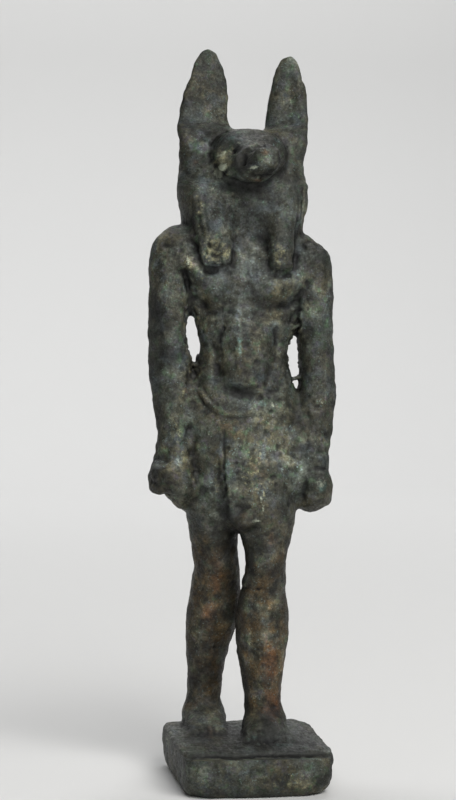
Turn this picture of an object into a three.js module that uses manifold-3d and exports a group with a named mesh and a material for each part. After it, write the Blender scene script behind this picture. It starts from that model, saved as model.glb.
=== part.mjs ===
// A small solid-cast bronze of a striding jackal-headed god on its own plinth.
// Millimetres, +Z up, the figure looks along -Y, its own right hand is on the -X side.
// The origin is the middle of the underside's bounding box.
import * as THREE from "three";
import { mergeVertices } from "three/addons/utils/BufferGeometryUtils.js";
import Module from "manifold-3d";

const wasm = await Module();
wasm.setup();

// ---- driving dimensions -------------------------------------------------
const PLINTH_W = 29.8; // left to right at the front edge
const PLINTH_FLARE = 2.4; // how much wider the plinth is at the back
const PLINTH_FRONT = -18.2;
const PLINTH_BACK = 19.8;
const PLINTH_H = 8.15;
const PLINTH_LIP = 1.0; // distance from the front edge to the groove on top
const KNEE_Z = 42;
const HEM_Z = 50.5;
const BELT_Z = 77;
const WAIST_Z = 88;
const SHOULDER_Z = 111;
const CROWN_Z = 133;
const EAR_TIP_R = 149.4; // top of the ear on the -X side
const EAR_TIP_L = 148.3; // top of the ear on the +X side
const CREASE_X = -4.5; // the long crease down the front of the kilt
const HEAD_X = 0.8; // the head sits a little to its left
const NOSE_Y = -12.9;

// ---- profile interpolation ----------------------------------------------
// A profile is a short table of stations. The first number is the distance along
// the loft's axis; between stations every other number follows a smooth cubic.
function tangent(table, i, k) {
  const a = table[Math.max(i - 1, 0)];
  const b = table[Math.min(i + 1, table.length - 1)];
  return (b[k] - a[k]) / (b[0] - a[0]);
}
function sample(table, s) {
  let i = 0;
  while (i < table.length - 2 && s > table[i + 1][0]) i++;
  const p = table[i];
  const q = table[i + 1];
  const h = q[0] - p[0];
  const t = Math.min(Math.max((s - p[0]) / h, 0), 1);
  const t2 = t * t;
  const t3 = t2 * t;
  return p.map((_, k) =>
    k === 0
      ? s
      : p[k] * (2 * t3 - 3 * t2 + 1) +
        q[k] * (3 * t2 - 2 * t3) +
        h * tangent(table, i, k) * (t3 - 2 * t2 + t) +
        h * tangent(table, i + 1, k) * (t3 - t2),
  );
}
// a smooth step from 0 to 1
const ease = (t) => {
  const u = Math.min(Math.max(t, 0), 1);
  return u * u * (3 - 2 * u);
};
const signedPower = (v, e) => (Math.abs(v) < 1e-9 ? 0 : Math.sign(v) * Math.pow(Math.abs(v), e));

// ---- lofts --------------------------------------------------------------
// Stations: [s, low, high, front, back, squareness]. Along z, low and high are
// x limits and front and back are y limits. Along y, low and high are x limits
// and front and back are z limits. Round ends shrink the sections as a ball does.
// A swell [x, y, z, rx, ry, rz, height] raises the surface softly round a point, or
// hollows it where height is negative: muscles, brows, knees, the furrow of the spine.
function loft(
  table,
  { along = "z", seg = 20, rows = 16, roundLow = 0, roundHigh = 0, turn = 0, swells = [], shape = null } = {},
) {
  const s0 = table[0][0];
  const s1 = table[table.length - 1][0];
  const g = new THREE.CylinderGeometry(1, 1, 1, seg, rows);
  const pos = g.attributes.position;
  for (let i = 0; i < pos.count; i++) {
    const row = Math.round((pos.getY(i) + 0.5) * rows);
    let u = row / rows;
    // rows crowd towards a round end, so that its curve is carried
    if (roundLow > 0 && roundHigh > 0) u = 0.5 - 0.5 * Math.cos(Math.PI * u);
    else if (roundLow > 0) u = 1 - Math.cos((Math.PI / 2) * u);
    else if (roundHigh > 0) u = Math.sin((Math.PI / 2) * u);
    const s = s0 + (s1 - s0) * u;
    const [, low, high, front, back, n] = sample(table, s);
    let shrink = 1;
    if (roundLow > 0 && s < s0 + roundLow)
      shrink *= Math.sqrt(Math.max(1 - ((s0 + roundLow - s) / roundLow) ** 2, 0.02));
    if (roundHigh > 0 && s > s1 - roundHigh)
      shrink *= Math.sqrt(Math.max(1 - ((s - s1 + roundHigh) / roundHigh) ** 2, 0.02));
    const radius = Math.round(Math.hypot(pos.getX(i), pos.getZ(i)));
    const step = (2 * Math.PI) / seg;
    const angle = (Math.round(Math.atan2(pos.getZ(i), pos.getX(i)) / step + seg) % seg) * step;
    const e = 2 / n;
    const a = ((high - low) / 2) * shrink * radius * signedPower(Math.cos(angle), e);
    const b = ((back - front) / 2) * shrink * radius * signedPower(Math.sin(angle), e);
    const c = Math.cos(turn);
    const d = Math.sin(turn);
    let da = a * c - b * d;
    let db = a * d + b * c;
    let p = (low + high) / 2 + da;
    let q = (front + back) / 2 + db;
    const away = Math.hypot(da, db);
    if (away > 1e-6) {
      let rise = 0;
      for (const [x, y, z, rx, ry, rz, height] of swells) {
        const dx = (p - x) / rx;
        const dy = ((along === "z" ? q : s) - y) / ry;
        const dz = ((along === "z" ? s : q) - z) / rz;
        rise += height * Math.exp(-(dx * dx + dy * dy + dz * dz));
      }
      p += (da / away) * rise;
      q += (db / away) * rise;
    }
    const point = along === "z" ? [p, q, s] : [p, s, q];
    if (shape) shape(point);
    pos.setXYZ(i, ...point);
  }
  return solid(g);
}

// Any closed three.js geometry as a solid with its faces pointing out.
function solid(geometry) {
  const g = geometry.clone();
  g.deleteAttribute("normal");
  g.deleteAttribute("uv");
  const m = mergeVertices(g, 1e-4);
  const points = m.attributes.position;
  const tri = Array.from(m.index.array);
  let volume = 0;
  const a = new THREE.Vector3();
  const b = new THREE.Vector3();
  const c = new THREE.Vector3();
  for (let i = 0; i < tri.length; i += 3) {
    a.fromBufferAttribute(points, tri[i]);
    b.fromBufferAttribute(points, tri[i + 1]);
    c.fromBufferAttribute(points, tri[i + 2]);
    volume += a.dot(b.cross(c));
  }
  if (volume < 0) for (let i = 0; i < tri.length; i += 3) [tri[i + 1], tri[i + 2]] = [tri[i + 2], tri[i + 1]];
  const keep = [];
  for (let i = 0; i < tri.length; i += 3)
    if (tri[i] !== tri[i + 1] && tri[i + 1] !== tri[i + 2] && tri[i] !== tri[i + 2])
      keep.push(tri[i], tri[i + 1], tri[i + 2]);
  return new wasm.Manifold(
    new wasm.Mesh({
      numProp: 3,
      vertProperties: Float32Array.from(points.array),
      triVerts: Uint32Array.from(keep),
    }),
  );
}

// An ellipsoid, for muscles, knuckles and hollows.
function ball(x, y, z, rx, ry, rz, seg = 14) {
  const g = new THREE.SphereGeometry(1, seg, Math.max(6, Math.round(seg * 0.6)));
  g.scale(rx, ry, rz);
  g.translate(x, y, z);
  return solid(g);
}

// A carved line: a round tool of the given radius drawn along a smooth curve.
function groove(points, radius, steps = 10) {
  const path = new THREE.CatmullRomCurve3(points.map((p) => new THREE.Vector3(...p)));
  const section = new THREE.Shape();
  const sides = 6;
  for (let i = 0; i < sides; i++) {
    const w = (2 * Math.PI * i) / sides;
    const x = radius * Math.cos(w);
    const y = radius * Math.sin(w);
    if (i === 0) section.moveTo(x, y);
    else section.lineTo(x, y);
  }
  section.closePath();
  return solid(new THREE.ExtrudeGeometry(section, { steps, bevelEnabled: false, extrudePath: path, curveSegments: 1 }));
}

// ---- plinth -------------------------------------------------------------
const hw = PLINTH_W / 2;
const plinthProfile = [
  [0, -hw + 1.1, hw - 1.9, PLINTH_FRONT + 0.9, PLINTH_BACK - 0.7, 9],
  [1.2, -hw + 0.5, hw - 0.9, PLINTH_FRONT + 0.3, PLINTH_BACK - 0.3, 9],
  [4.5, -hw + 0.1, hw - 0.2, PLINTH_FRONT, PLINTH_BACK, 10],
  [PLINTH_H - 0.6, -hw, hw - 0.3, PLINTH_FRONT, PLINTH_BACK, 10],
  [PLINTH_H, -hw + 0.3, hw - 0.6, PLINTH_FRONT + 0.25, PLINTH_BACK - 0.4, 9],
];
// the plinth widens towards the back, its top is a little higher there, and its front
// corners are worn away most near the ground
function plinthShape(point) {
  const back = (point[1] - PLINTH_FRONT) / (PLINTH_BACK - PLINTH_FRONT);
  const corner = ease((-14 - point[1]) / 4) * ease((Math.abs(point[0]) - 9) / 6) * ease((3.2 - point[2]) / 3.2);
  point[0] *= (1 + (PLINTH_FLARE / PLINTH_W) * back) * (1 - 0.07 * corner);
  point[1] += 1.1 * corner;
  if (point[2] > 4) point[2] += 0.8 * back * ((point[2] - 4) / (PLINTH_H - 4));
}
const lipY = PLINTH_FRONT + PLINTH_LIP;
const plinth = loft(plinthProfile, { seg: 40, rows: 5, shape: plinthShape })
  // the groove behind the front edge and the broken back corner
  .subtract(
    groove(
      [
        [-hw + 1.2, lipY, PLINTH_H + 0.05],
        [0, lipY + 0.1, PLINTH_H + 0.05],
        [hw - 1.0, lipY - 0.1, PLINTH_H + 0.05],
      ],
      0.32,
      4,
    ),
  )
  .subtract(ball(hw + 3.4, PLINTH_BACK - 4.5, PLINTH_H + 1.6, 3.2, 8.0, 2.4, 12));

// ---- legs and feet ------------------------------------------------------
const rearLeg = [
  [6.5, -11.7, -3.0, 9.0, 17.8, 2.3],
  [11, -11.6, -3.1, 9.3, 17.2, 2.2],
  [15.5, -11.0, -3.7, 9.8, 16.6, 2.2],
  [21, -10.9, -3.3, 9.2, 16.7, 2.1],
  [27, -11.2, -1.8, 8.0, 17.3, 2.1],
  [32, -11.1, -0.2, 7.0, 17.3, 2.1],
  [37, -10.6, 0.1, 6.4, 16.4, 2.2],
  [KNEE_Z, -9.8, -0.4, 5.4, 15.3, 2.3],
  [46, -10.3, -0.7, 4.6, 15.2, 2.2],
  [51, -11.1, -0.8, 3.3, 15.3, 2.2],
  [58, -10.8, -0.4, 4.4, 14.8, 2.3],
];
const frontLeg = [
  [6.5, -0.5, 8.0, -1.6, 7.2, 2.3],
  [12, -0.1, 7.6, -0.9, 6.8, 2.2],
  [17, -0.4, 7.3, -0.5, 6.6, 2.2],
  [22, -1.0, 8.0, -0.4, 7.8, 2.1],
  [28, -1.9, 8.9, -0.5, 9.1, 2.1],
  [32, -2.0, 9.1, -0.7, 9.4, 2.1],
  [37, -1.2, 8.5, -1.0, 8.7, 2.2],
  [KNEE_Z, 0.0, 8.2, -1.5, 8.0, 2.3],
  [46, 0.0, 8.7, -1.3, 8.6, 2.2],
  [50, -1.1, 9.9, -1.0, 9.8, 2.2],
  [54, -1.2, 10.3, -0.5, 10.8, 2.3],
  [58, -0.8, 9.8, 0.8, 12.0, 2.3],
];
const rearFoot = [
  [2.4, -10.6, -4.4, 6.6, 10.0, 2.6],
  [4.5, -11.2, -3.8, 6.6, 10.9, 2.6],
  [8, -11.5, -3.5, 6.6, 12.6, 2.4],
  [12, -11.6, -3.3, 6.6, 14.6, 2.2],
  [15, -11.5, -3.4, 6.6, 13.6, 2.2],
  [18.4, -10.6, -4.2, 6.6, 11.4, 2.4],
];
const frontFoot = [
  [-7.3, -1.5, 4.0, 6.6, 9.8, 2.4],
  [-5.6, -1.7, 5.4, 6.6, 10.7, 2.4],
  [-3, -1.3, 7.0, 6.6, 12.2, 2.3],
  [1, -0.7, 7.9, 6.6, 14.4, 2.2],
  [4.5, -0.4, 7.4, 6.6, 13.2, 2.2],
  [7.6, 0.4, 6.6, 6.6, 11.2, 2.4],
];
const rearMuscle = [
  [-5.2, 5.4, KNEE_Z + 0.5, 3.0, 3.5, 3.0, 0.8], // knee cap
  [-5.2, 16.5, 30, 4.5, 4, 6.5, 0.6], // calf
  [-11, 13.5, 12.6, 3, 3, 2, 0.5], // ankle bone
];
const frontMuscle = [
  [3.4, -1.4, KNEE_Z + 0.3, 2.6, 3.5, 2.8, 0.9],
  [3.4, 9.2, 30, 4.5, 4, 6.5, 0.6],
  [8, 3.2, 12.6, 3, 3, 2, 0.4],
];
const legs = [
  loft(rearLeg, { seg: 18, rows: 21, swells: rearMuscle }),
  loft(frontLeg, { seg: 18, rows: 21, swells: frontMuscle }),
  loft(rearFoot, { along: "y", seg: 16, rows: 9, roundLow: 1.2, roundHigh: 2 }),
  loft(frontFoot, { along: "y", seg: 16, rows: 9, roundLow: 1.4, roundHigh: 2 }),
  ball(7.4, -2.4, 8.3, 2.4, 4.6, 1.4, 12),
];

// ---- kilt, torso and chest ---------------------------------------------
const kilt = [
  [HEM_Z - 0.8, -10.5, 9.1, 0.2, 14.6, 2.6],
  [HEM_Z + 1.6, -11.0, 9.8, -0.4, 15.3, 2.7],
  [56, -11.7, 10.7, -0.4, 15.6, 2.7],
  [60, -12.0, 11.6, -0.1, 15.8, 2.7],
  [66, -12.0, 11.9, 0.5, 16.0, 2.6],
  [72, -12.0, 12.0, 1.1, 15.6, 2.5],
  [BELT_Z, -11.7, 11.6, 1.6, 14.8, 2.4],
  [80.5, -11.0, 10.8, 2.4, 13.8, 2.3],
];
// the cloth over the leg that is set back falls away behind one long crease
function kiltShape(point) {
  const [x, y, z] = point;
  const side = ease((CREASE_X + 0.7 - x) / 1.4);
  point[1] += (1.9 * ease((71 - z) / 15) + 1.4 * ease((57 - z) / 7)) * side * ease((9 - y) / 7);
}
const torso = [
  [76, -11.4, 11.5, 2.2, 14.4, 2.4],
  [80, -11.0, 10.6, 2.6, 13.6, 2.4],
  [83.5, -10.4, 10.0, 3.0, 13.0, 2.4],
  [WAIST_Z, -8.9, 9.6, 3.6, 12.3, 2.3],
  [92, -9.6, 11.5, 3.7, 12.4, 2.3],
  [97, -11.8, 12.4, 3.3, 12.8, 2.5],
  [102, -14.0, 14.0, 2.9, 13.2, 2.6],
  [107, -15.8, 14.8, 3.2, 13.4, 2.5],
  [SHOULDER_Z, -15.6, 13.6, 4.4, 13.2, 2.2],
  [115, -8.5, 8.8, 4.0, 12.6, 2.0],
];
const torsoMuscle = [
  [-7.0, 2.6, 101.0, 3.4, 4, 2.8, 1.1], // breasts
  [-11.4, 3.0, 104.6, 2.2, 4, 2.2, 0.6],
  [8.2, 2.6, 100.4, 4.2, 4, 2.8, 1.3],
  [12.6, 3.0, 103.8, 2.4, 4, 2.4, 0.7],
  [4.6, 2.6, 99.6, 2.6, 4, 2.4, 0.5],
  [-9.6, 3.0, 96.6, 2.8, 4, 2.6, -0.9],
  [-6.4, 3.0, 94.6, 2.2, 4, 1.6, -0.5],
  [9.0, 3.0, 95.0, 3.8, 4, 2.0, -1.0],
  [-9.0, 3.0, 88.0, 2.6, 4, 7.0, -0.5],
  [0.6, 2.6, 104, 1.6, 3, 5, -0.4],
  [0.4, 13.2, 98, 1.8, 3, 12, -0.8], // furrow of the spine
  [-7.5, 13.0, 104, 4, 3, 5, 0.6], // shoulder blades
  [7.5, 13.0, 104, 4, 3, 5, 0.6],
];
const panel = [
  [79.2, -4.2, 3.2, 0.6, 8, 2.5],
  [83, -4.7, 4.8, 1.1, 8, 2.5],
  [88, -4.8, 5.8, 1.9, 8, 2.5],
  [92, -4.7, 5.9, 2.6, 8, 2.4],
  [97, -3.4, 3.0, 3.5, 8, 2.0],
];
const hips = [
  [-5.4, 15.6, 70, 5.2, 4, 6.5, 0.9], // buttocks
  [5.6, 15.6, 70, 5.2, 4, 6.5, 0.9],
  [0, 15.6, 66, 1.5, 3, 9, -0.5],
  [4.2, -0.4, 61, 4.8, 4, 8, 0.45], // the thigh that is forward
];
const trunk = [
  loft(kilt, { seg: 32, rows: 12, swells: hips, roundLow: 1.6, shape: kiltShape }),
  loft(torso, { seg: 32, rows: 23, swells: torsoMuscle }),
  loft(panel, { seg: 16, rows: 9, roundLow: 1.6 }),
  // the fold that hangs between the thighs at the hem
  ball(-0.5, 2.0, 52.9, 2.5, 3.9, 2.9, 12),
];

// ---- arms ---------------------------------------------------------------
const rightArm = [
  [57.6, -19.2, -12.2, 1.6, 9.6, 2.6],
  [61, -19.8, -11.8, 1.0, 10.2, 2.7],
  [64.5, -18.9, -11.5, 1.6, 9.9, 2.5],
  [68, -18.0, -11.0, 2.3, 9.6, 2.1],
  [73, -18.1, -10.6, 2.8, 10.4, 2.0],
  [79, -19.0, -10.3, 3.3, 11.8, 2.0],
  [84.5, -19.5, -10.3, 3.9, 12.4, 2.0],
  [88.5, -19.6, -11.3, 4.0, 12.6, 2.1],
  [94, -19.6, -11.4, 4.0, 12.6, 2.1],
  [99, -19.5, -10.6, 3.9, 12.7, 2.1],
  [104, -19.4, -10.2, 3.8, 12.8, 2.1],
  [109, -18.8, -9.8, 4.0, 12.8, 2.1],
  [112.8, -17.2, -9.0, 4.8, 12.2, 2.0],
];
const leftArm = [
  [54.8, 12.0, 17.9, 1.2, 9.4, 2.9],
  [59.5, 11.6, 18.1, 0.6, 10.0, 2.7],
  [63.5, 11.5, 17.5, 1.2, 9.8, 2.4],
  [68, 11.2, 17.9, 2.4, 9.6, 2.2],
  [72.5, 11.2, 18.9, 3.0, 10.6, 2.1],
  [78, 11.2, 19.6, 3.3, 11.8, 2.1],
  [81, 11.7, 19.6, 3.6, 12.2, 2.1],
  [86, 11.9, 19.3, 4.0, 12.6, 2.1],
  [90.5, 11.3, 19.1, 4.0, 12.6, 2.0],
  [94, 10.5, 19.1, 4.0, 12.6, 2.0],
  [101, 10.2, 19.0, 3.8, 12.8, 2.1],
  [106.5, 9.8, 18.5, 4.0, 12.8, 2.1],
  [111.0, 9.2, 16.6, 4.8, 12.2, 2.0],
];
const arms = [
  loft(rightArm, { seg: 16, rows: 20, roundLow: 1.4, roundHigh: 4.2 }),
  loft(leftArm, { seg: 16, rows: 20, roundLow: 1.2, roundHigh: 4.2 }),
  // the lower, inner half of the right fist, and the round end of the left one
  ball(-13.2, 5.4, 59.0, 2.7, 4.2, 4.0, 12),
  ball(14.9, 2.6, 59.2, 2.6, 2.9, 2.9, 12),
  ball(13.7, 5.2, 56.6, 1.8, 3.4, 2.7, 10),
  // the flesh between each fist and the thigh
  ball(-11.4, 6.6, 60.5, 1.6, 4.0, 5.0, 10),
  ball(11.4, 6.4, 61.5, 1.8, 4.6, 5.0, 10),
];

// ---- head-cloth and lappets --------------------------------------------
const wig = [
  [107, -11.4, 11.8, 6.2, 14.0, 2.3],
  [110.5, -12.5, 12.6, 4.2, 14.8, 2.4],
  [114, -12.5, 13.0, 2.9, 15.4, 2.4],
  [117.5, -13.1, 13.9, 2.2, 16.0, 2.4],
  [121, -13.5, 13.7, 2.4, 16.4, 2.4],
  [124.5, -13.1, 13.2, 2.8, 16.4, 2.3],
  [128, -12.4, 12.5, 3.6, 15.8, 2.3],
  [131, -10.6, 11.2, 5.0, 14.4, 2.2],
  [CROWN_Z, -6.6, 7.6, 7.2, 11.8, 2.0],
];
const rightLappet = [
  [104.0, -9.6, -2.8, 1.3, 6, 2.4],
  [108, -9.9, -2.6, 0.9, 7, 2.4],
  [113, -10.3, -2.7, 1.2, 8, 2.2],
  [117, -11.0, -3.2, 1.9, 9, 2.1],
  [121, -11.6, -4.0, 3.4, 11, 2.0],
];
const leftLappet = [
  [103.3, 5.0, 9.8, 1.2, 6, 2.6],
  [108, 4.7, 10.3, 0.9, 7, 2.5],
  [113, 4.4, 10.9, 1.2, 8, 2.3],
  [117, 4.4, 11.6, 1.9, 9, 2.1],
  [121, 4.8, 12.2, 3.4, 11, 2.0],
];
const headCloth = [
  loft(wig, { seg: 28, rows: 14, roundLow: 1.5 }),
  loft(rightLappet, { seg: 14, rows: 9, roundLow: 0.8 }),
  loft(leftLappet, { seg: 14, rows: 9, roundLow: 0.8 }),
];

// ---- head ---------------------------------------------------------------
const head = [
  [NOSE_Y, HEAD_X - 0.3, HEAD_X + 3.9, 122.6, 126.7, 2.5],
  [-11.4, HEAD_X - 0.9, HEAD_X + 4.3, 122.0, 127.2, 2.5],
  [-9, HEAD_X - 1.7, HEAD_X + 4.4, 121.4, 127.5, 2.4],
  [-6, HEAD_X - 3.0, HEAD_X + 4.5, 121.0, 127.9, 2.3],
  [-3.5, HEAD_X - 4.2, HEAD_X + 4.9, 120.9, 128.9, 2.2],
  [-1.2, HEAD_X - 5.5, HEAD_X + 5.7, 121.1, 130.5, 2.2],
  [1, HEAD_X - 6.9, HEAD_X + 7.0, 121.3, 131.9, 2.2],
  [4, HEAD_X - 7.4, HEAD_X + 7.6, 121.5, 132.6, 2.3],
  [9, HEAD_X - 7.0, HEAD_X + 7.0, 121.6, CROWN_Z, 2.3],
];
const features = [
  [HEAD_X - 4.6, -0.6, 129.2, 2.2, 2.0, 1.5, 0.9], // brows
  [HEAD_X + 4.8, -0.6, 129.4, 2.2, 2.0, 1.5, 0.9],
  [HEAD_X - 4.0, -2.2, 127.0, 1.5, 1.5, 1.0, -0.5], // eyes
  [HEAD_X + 4.2, -2.2, 127.2, 1.5, 1.5, 1.0, -0.5],
  [HEAD_X - 6.0, 0.8, 123.6, 2.2, 2.6, 1.6, 0.7], // the fuller cheek
];
const face = [loft(head, { along: "y", seg: 24, rows: 20, roundLow: 0.7, swells: features })];

// ---- ears ---------------------------------------------------------------
const rightEar = [
  [126, -12.5, -3.0, 6.4, 11.6, 2.2],
  [129, -13.0, -2.2, 6.8, 11.0, 2.2],
  [132.5, -13.5, -2.1, 7.2, 10.6, 2.2],
  [136, -13.2, -2.8, 7.4, 10.2, 2.1],
  [140.4, -12.4, -2.7, 7.5, 10.0, 2.1],
  [144, -11.3, -3.1, 7.5, 9.7, 2.1],
  [147.2, -10.0, -4.2, 7.6, 9.4, 2.0],
  [EAR_TIP_R, -8.2, -5.8, 7.8, 9.0, 2.0],
];
const leftEar = [
  [126, 3.6, 12.4, 6.4, 11.6, 2.2],
  [129, 4.2, 13.6, 6.8, 11.0, 2.2],
  [132.5, 4.8, 14.0, 7.2, 10.6, 2.2],
  [136, 5.0, 14.0, 7.4, 10.2, 2.1],
  [140, 5.2, 13.9, 7.5, 10.0, 2.1],
  [143.5, 5.8, 13.2, 7.5, 9.7, 2.1],
  [146.4, 6.9, 12.2, 7.6, 9.4, 2.0],
  [EAR_TIP_L, 8.6, 10.9, 7.8, 9.0, 2.0],
];
// the very shallow hollow in the front of each ear follows the ear's own outline
const hollow = (table, rim, deep) =>
  table.slice(1).map(([z, a, b, f, , n], i, all) => {
    const k = i === all.length - 1 ? 0.3 : 1;
    const m = (a + b) / 2;
    const w = Math.max(((b - a) / 2 - rim) * k, 0.25);
    return [z - (i === all.length - 1 ? 1.6 : 0), m - w, m + w, f - 1.6, f + deep * k, 2];
  });
const ears = [
  loft(rightEar, { seg: 16, rows: 12, roundHigh: 1.2, turn: 0.12 }).subtract(
    loft(hollow(rightEar, 1.2, 0.4), { seg: 12, rows: 9, roundLow: 2.5, turn: 0.12 }),
  ),
  loft(leftEar, { seg: 16, rows: 12, roundHigh: 1.2, turn: -0.3 }).subtract(
    loft(hollow(leftEar, 1.2, 0.4), { seg: 12, rows: 9, roundLow: 2.5, turn: -0.3 }),
  ),
];

// ---- one casting --------------------------------------------------------
let body = wasm.Manifold.union([plinth, ...legs, ...trunk, ...arms, ...headCloth, ...face, ...ears]);

// A carved line follows the surface: each of its points is dropped onto the body
// from the front, or from the back where the line is there.
function asMesh(manifold) {
  const m = manifold.getMesh();
  const g = new THREE.BufferGeometry();
  g.setAttribute("position", new THREE.BufferAttribute(Float32Array.from(m.vertProperties), 3));
  g.setIndex(new THREE.BufferAttribute(Uint32Array.from(m.triVerts), 1));
  return new THREE.Mesh(g, new THREE.MeshBasicMaterial({ side: THREE.DoubleSide }));
}
const uncut = asMesh(body);
const probe = new THREE.Raycaster();
function onSurface(x, z, from = -1) {
  probe.set(new THREE.Vector3(x, 60 * from, z), new THREE.Vector3(0, -from, 0));
  const hits = probe.intersectObject(uncut);
  return [x, hits.length ? hits[0].point.y : 0, z];
}
// the line runs through a few named points; more are dropped between them
function carve(marks, radius, { sink = 0.05, from = -1, steps = 12 } = {}) {
  const flat = new THREE.CatmullRomCurve3(marks.map(([x, z]) => new THREE.Vector3(x, 0, z)));
  const points = flat.getSpacedPoints(steps).map((p) => {
    const [x, y, z] = onSurface(p.x, p.z, from);
    return [x, y - from * sink, z];
  });
  return groove(points, radius, steps);
}

const cuts = [
  // crease under each breast
  carve([[-13.0, 104.6], [-11.8, 101.6], [-10.2, 98.2], [-8.4, 95.6]], 0.5),
  carve([[13.2, 102.0], [10.7, 98.1], [8.6, 96.6], [4.6, 96.4]], 0.5),
  // upper edge of the belt, dipping in front
  carve([[-9.6, 78.9], [-7.5, 76.6], [-5.4, 75.0], [-3.0, 74.3], [-0.8, 74.2]], 0.3, { steps: 8 }),
  // the kilt's crease
  carve([[-4.7, 70.5], [-4.6, 64.3], [-4.3, 57.4], [-4.0, 53.4]], 0.36, { steps: 9 }),
  // the dark line beside the muzzle
  carve([[-0.2, 126.9], [-1.1, 125.6], [-1.1, 124.2]], 0.5, { steps: 5 }),
  // the furrow between the lappets' outer edge and the head-cloth
  carve([[10.1, 104.2], [10.6, 109], [11.0, 114]], 0.36, { steps: 6 }),
  carve([[-9.7, 105.4], [-10.0, 109.5], [-10.5, 114]], 0.3, { steps: 6 }),
];
for (const cut of cuts) body = body.subtract(cut);
body = body.simplify(0.1);

const parts = body.decompose();
parts.sort((a, b) => b.volume() - a.volume());
body = parts[0];

const box = body.boundingBox();
const middle = [(box.min[0] + box.max[0]) / 2, (box.min[1] + box.max[1]) / 2, box.min[2]];

const out = body.getMesh();
const geometry = new THREE.BufferGeometry();
geometry.setAttribute("position", new THREE.BufferAttribute(Float32Array.from(out.vertProperties), 3));
geometry.setIndex(new THREE.BufferAttribute(Uint32Array.from(out.triVerts), 1));
geometry.translate(-middle[0], -middle[1], -middle[2]);
geometry.computeVertexNormals();

const bronze = new THREE.MeshStandardMaterial({ color: 0x45483f, roughness: 0.62, metalness: 0.55 });
const statuette = new THREE.Mesh(geometry, bronze);
statuette.name = "anubis_statuette";

const group = new THREE.Group();
group.add(statuette);

export default group;
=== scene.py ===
import math

import bpy
import numpy as np
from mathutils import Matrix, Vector


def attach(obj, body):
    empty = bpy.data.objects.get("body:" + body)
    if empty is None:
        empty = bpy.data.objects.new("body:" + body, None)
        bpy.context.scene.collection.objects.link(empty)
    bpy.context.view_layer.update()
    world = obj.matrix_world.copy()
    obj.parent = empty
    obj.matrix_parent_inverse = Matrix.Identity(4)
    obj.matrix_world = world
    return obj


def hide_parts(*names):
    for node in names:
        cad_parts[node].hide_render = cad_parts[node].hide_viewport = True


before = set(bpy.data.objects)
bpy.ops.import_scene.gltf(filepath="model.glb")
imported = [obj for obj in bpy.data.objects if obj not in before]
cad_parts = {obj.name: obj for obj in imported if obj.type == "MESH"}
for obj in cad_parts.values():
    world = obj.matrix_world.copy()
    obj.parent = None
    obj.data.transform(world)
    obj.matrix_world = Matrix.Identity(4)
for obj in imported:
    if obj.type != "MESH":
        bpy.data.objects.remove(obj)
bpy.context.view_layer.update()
NODE = "anubis_statuette"

# ------------------------------------------------------------------------------
# The casting is worked out as one distance field, in millimetres, in the frame its
# profiles were measured in. That frame's origin lies OFFSET from the part's own.
# The figure faces -Y, and its own left is +X.
# ------------------------------------------------------------------------------
OFFSET = np.array([-0.083, 0.809, 0.0])
CELL = 0.25
SEED = 7

KNEE_Z = 42.0
HEM_Z = 51.5
BELT_Z = 77.0
WAIST_Z = 88.0
SHOULDER_Z = 111.0
CROWN_Z = 133.0
HEAD_X = 0.8
NOSE_Y = -12.9
PLINTH_W = 29.8
PLINTH_FLARE = 2.4
PLINTH_FRONT = -18.2
PLINTH_BACK = 19.8
PLINTH_H = 8.15

LOW = np.array([-21.3, -20.0, -0.9])
HIGH = np.array([21.3, 21.6, 151.2])
N = np.ceil((HIGH - LOW) / CELL).astype(int) + 1
AX = [(LOW[i] + CELL * np.arange(N[i])).astype(np.float32) for i in range(3)]
F = np.full(tuple(N), 9.0, np.float32)


def ease(t):
    t = np.clip(t, 0.0, 1.0)
    return t * t * (3 - 2 * t)


def span(axis, a, b):
    i = max(int(math.floor((a - LOW[axis]) / CELL)), 0)
    j = min(int(math.ceil((b - LOW[axis]) / CELL)) + 1, int(N[axis]))
    return slice(i, max(j, i + 2))


def grid(sl):
    return (
        AX[0][sl[0]][:, None, None],
        AX[1][sl[1]][None, :, None],
        AX[2][sl[2]][None, None, :],
    )


def at(table, s):
    """The profile's numbers at each s, on a smooth cubic between its stations."""
    t = np.array(table, float)
    s = np.clip(np.asarray(s, float), t[0, 0], t[-1, 0])
    i = np.clip(np.searchsorted(t[:, 0], s, side="right") - 1, 0, len(t) - 2)
    tan = np.empty_like(t)
    for k in range(len(t)):
        a, b = t[max(k - 1, 0)], t[min(k + 1, len(t) - 1)]
        tan[k] = (b - a) / (b[0] - a[0])
    p, q = t[i], t[i + 1]
    h = (q[:, 0] - p[:, 0])[:, None]
    u = ((s - p[:, 0]) / h[:, 0])[:, None]
    return (
        p * (2 * u**3 - 3 * u**2 + 1)
        + q * (3 * u**2 - 2 * u**3)
        + h * tan[i] * (u**3 - 2 * u**2 + u)
        + h * tan[i + 1] * (u**3 - u**2)
    )


def blur(a, r):
    """A box blur along each axis in turn."""
    for axis in range(3):
        pad = [(0, 0)] * 3
        pad[axis] = (r + 1, r)
        c = np.cumsum(np.pad(a, pad, mode="edge"), axis=axis, dtype=np.float64)
        n = a.shape[axis]
        hi = [slice(None)] * 3
        lo = [slice(None)] * 3
        hi[axis] = slice(2 * r + 1, 2 * r + 1 + n)
        lo[axis] = slice(0, n)
        a = ((c[tuple(hi)] - c[tuple(lo)]) / (2 * r + 1)).astype(np.float32)
    return a


def tidy(d):
    """Divides a rough distance by its own slope, so that it reads in millimetres."""
    g = np.gradient(d, CELL)
    slope = np.sqrt(g[0] ** 2 + g[1] ** 2 + g[2] ** 2)
    return blur(blur(d / np.clip(blur(slope, 2), 0.6, 3.0), 1), 1)


def smin(a, b, k):
    h = np.maximum(k - np.abs(a - b), 0.0) / k
    return np.minimum(a, b) - h * h * k * 0.25


def smax(a, b, k):
    return -smin(-a, -b, k)


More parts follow.
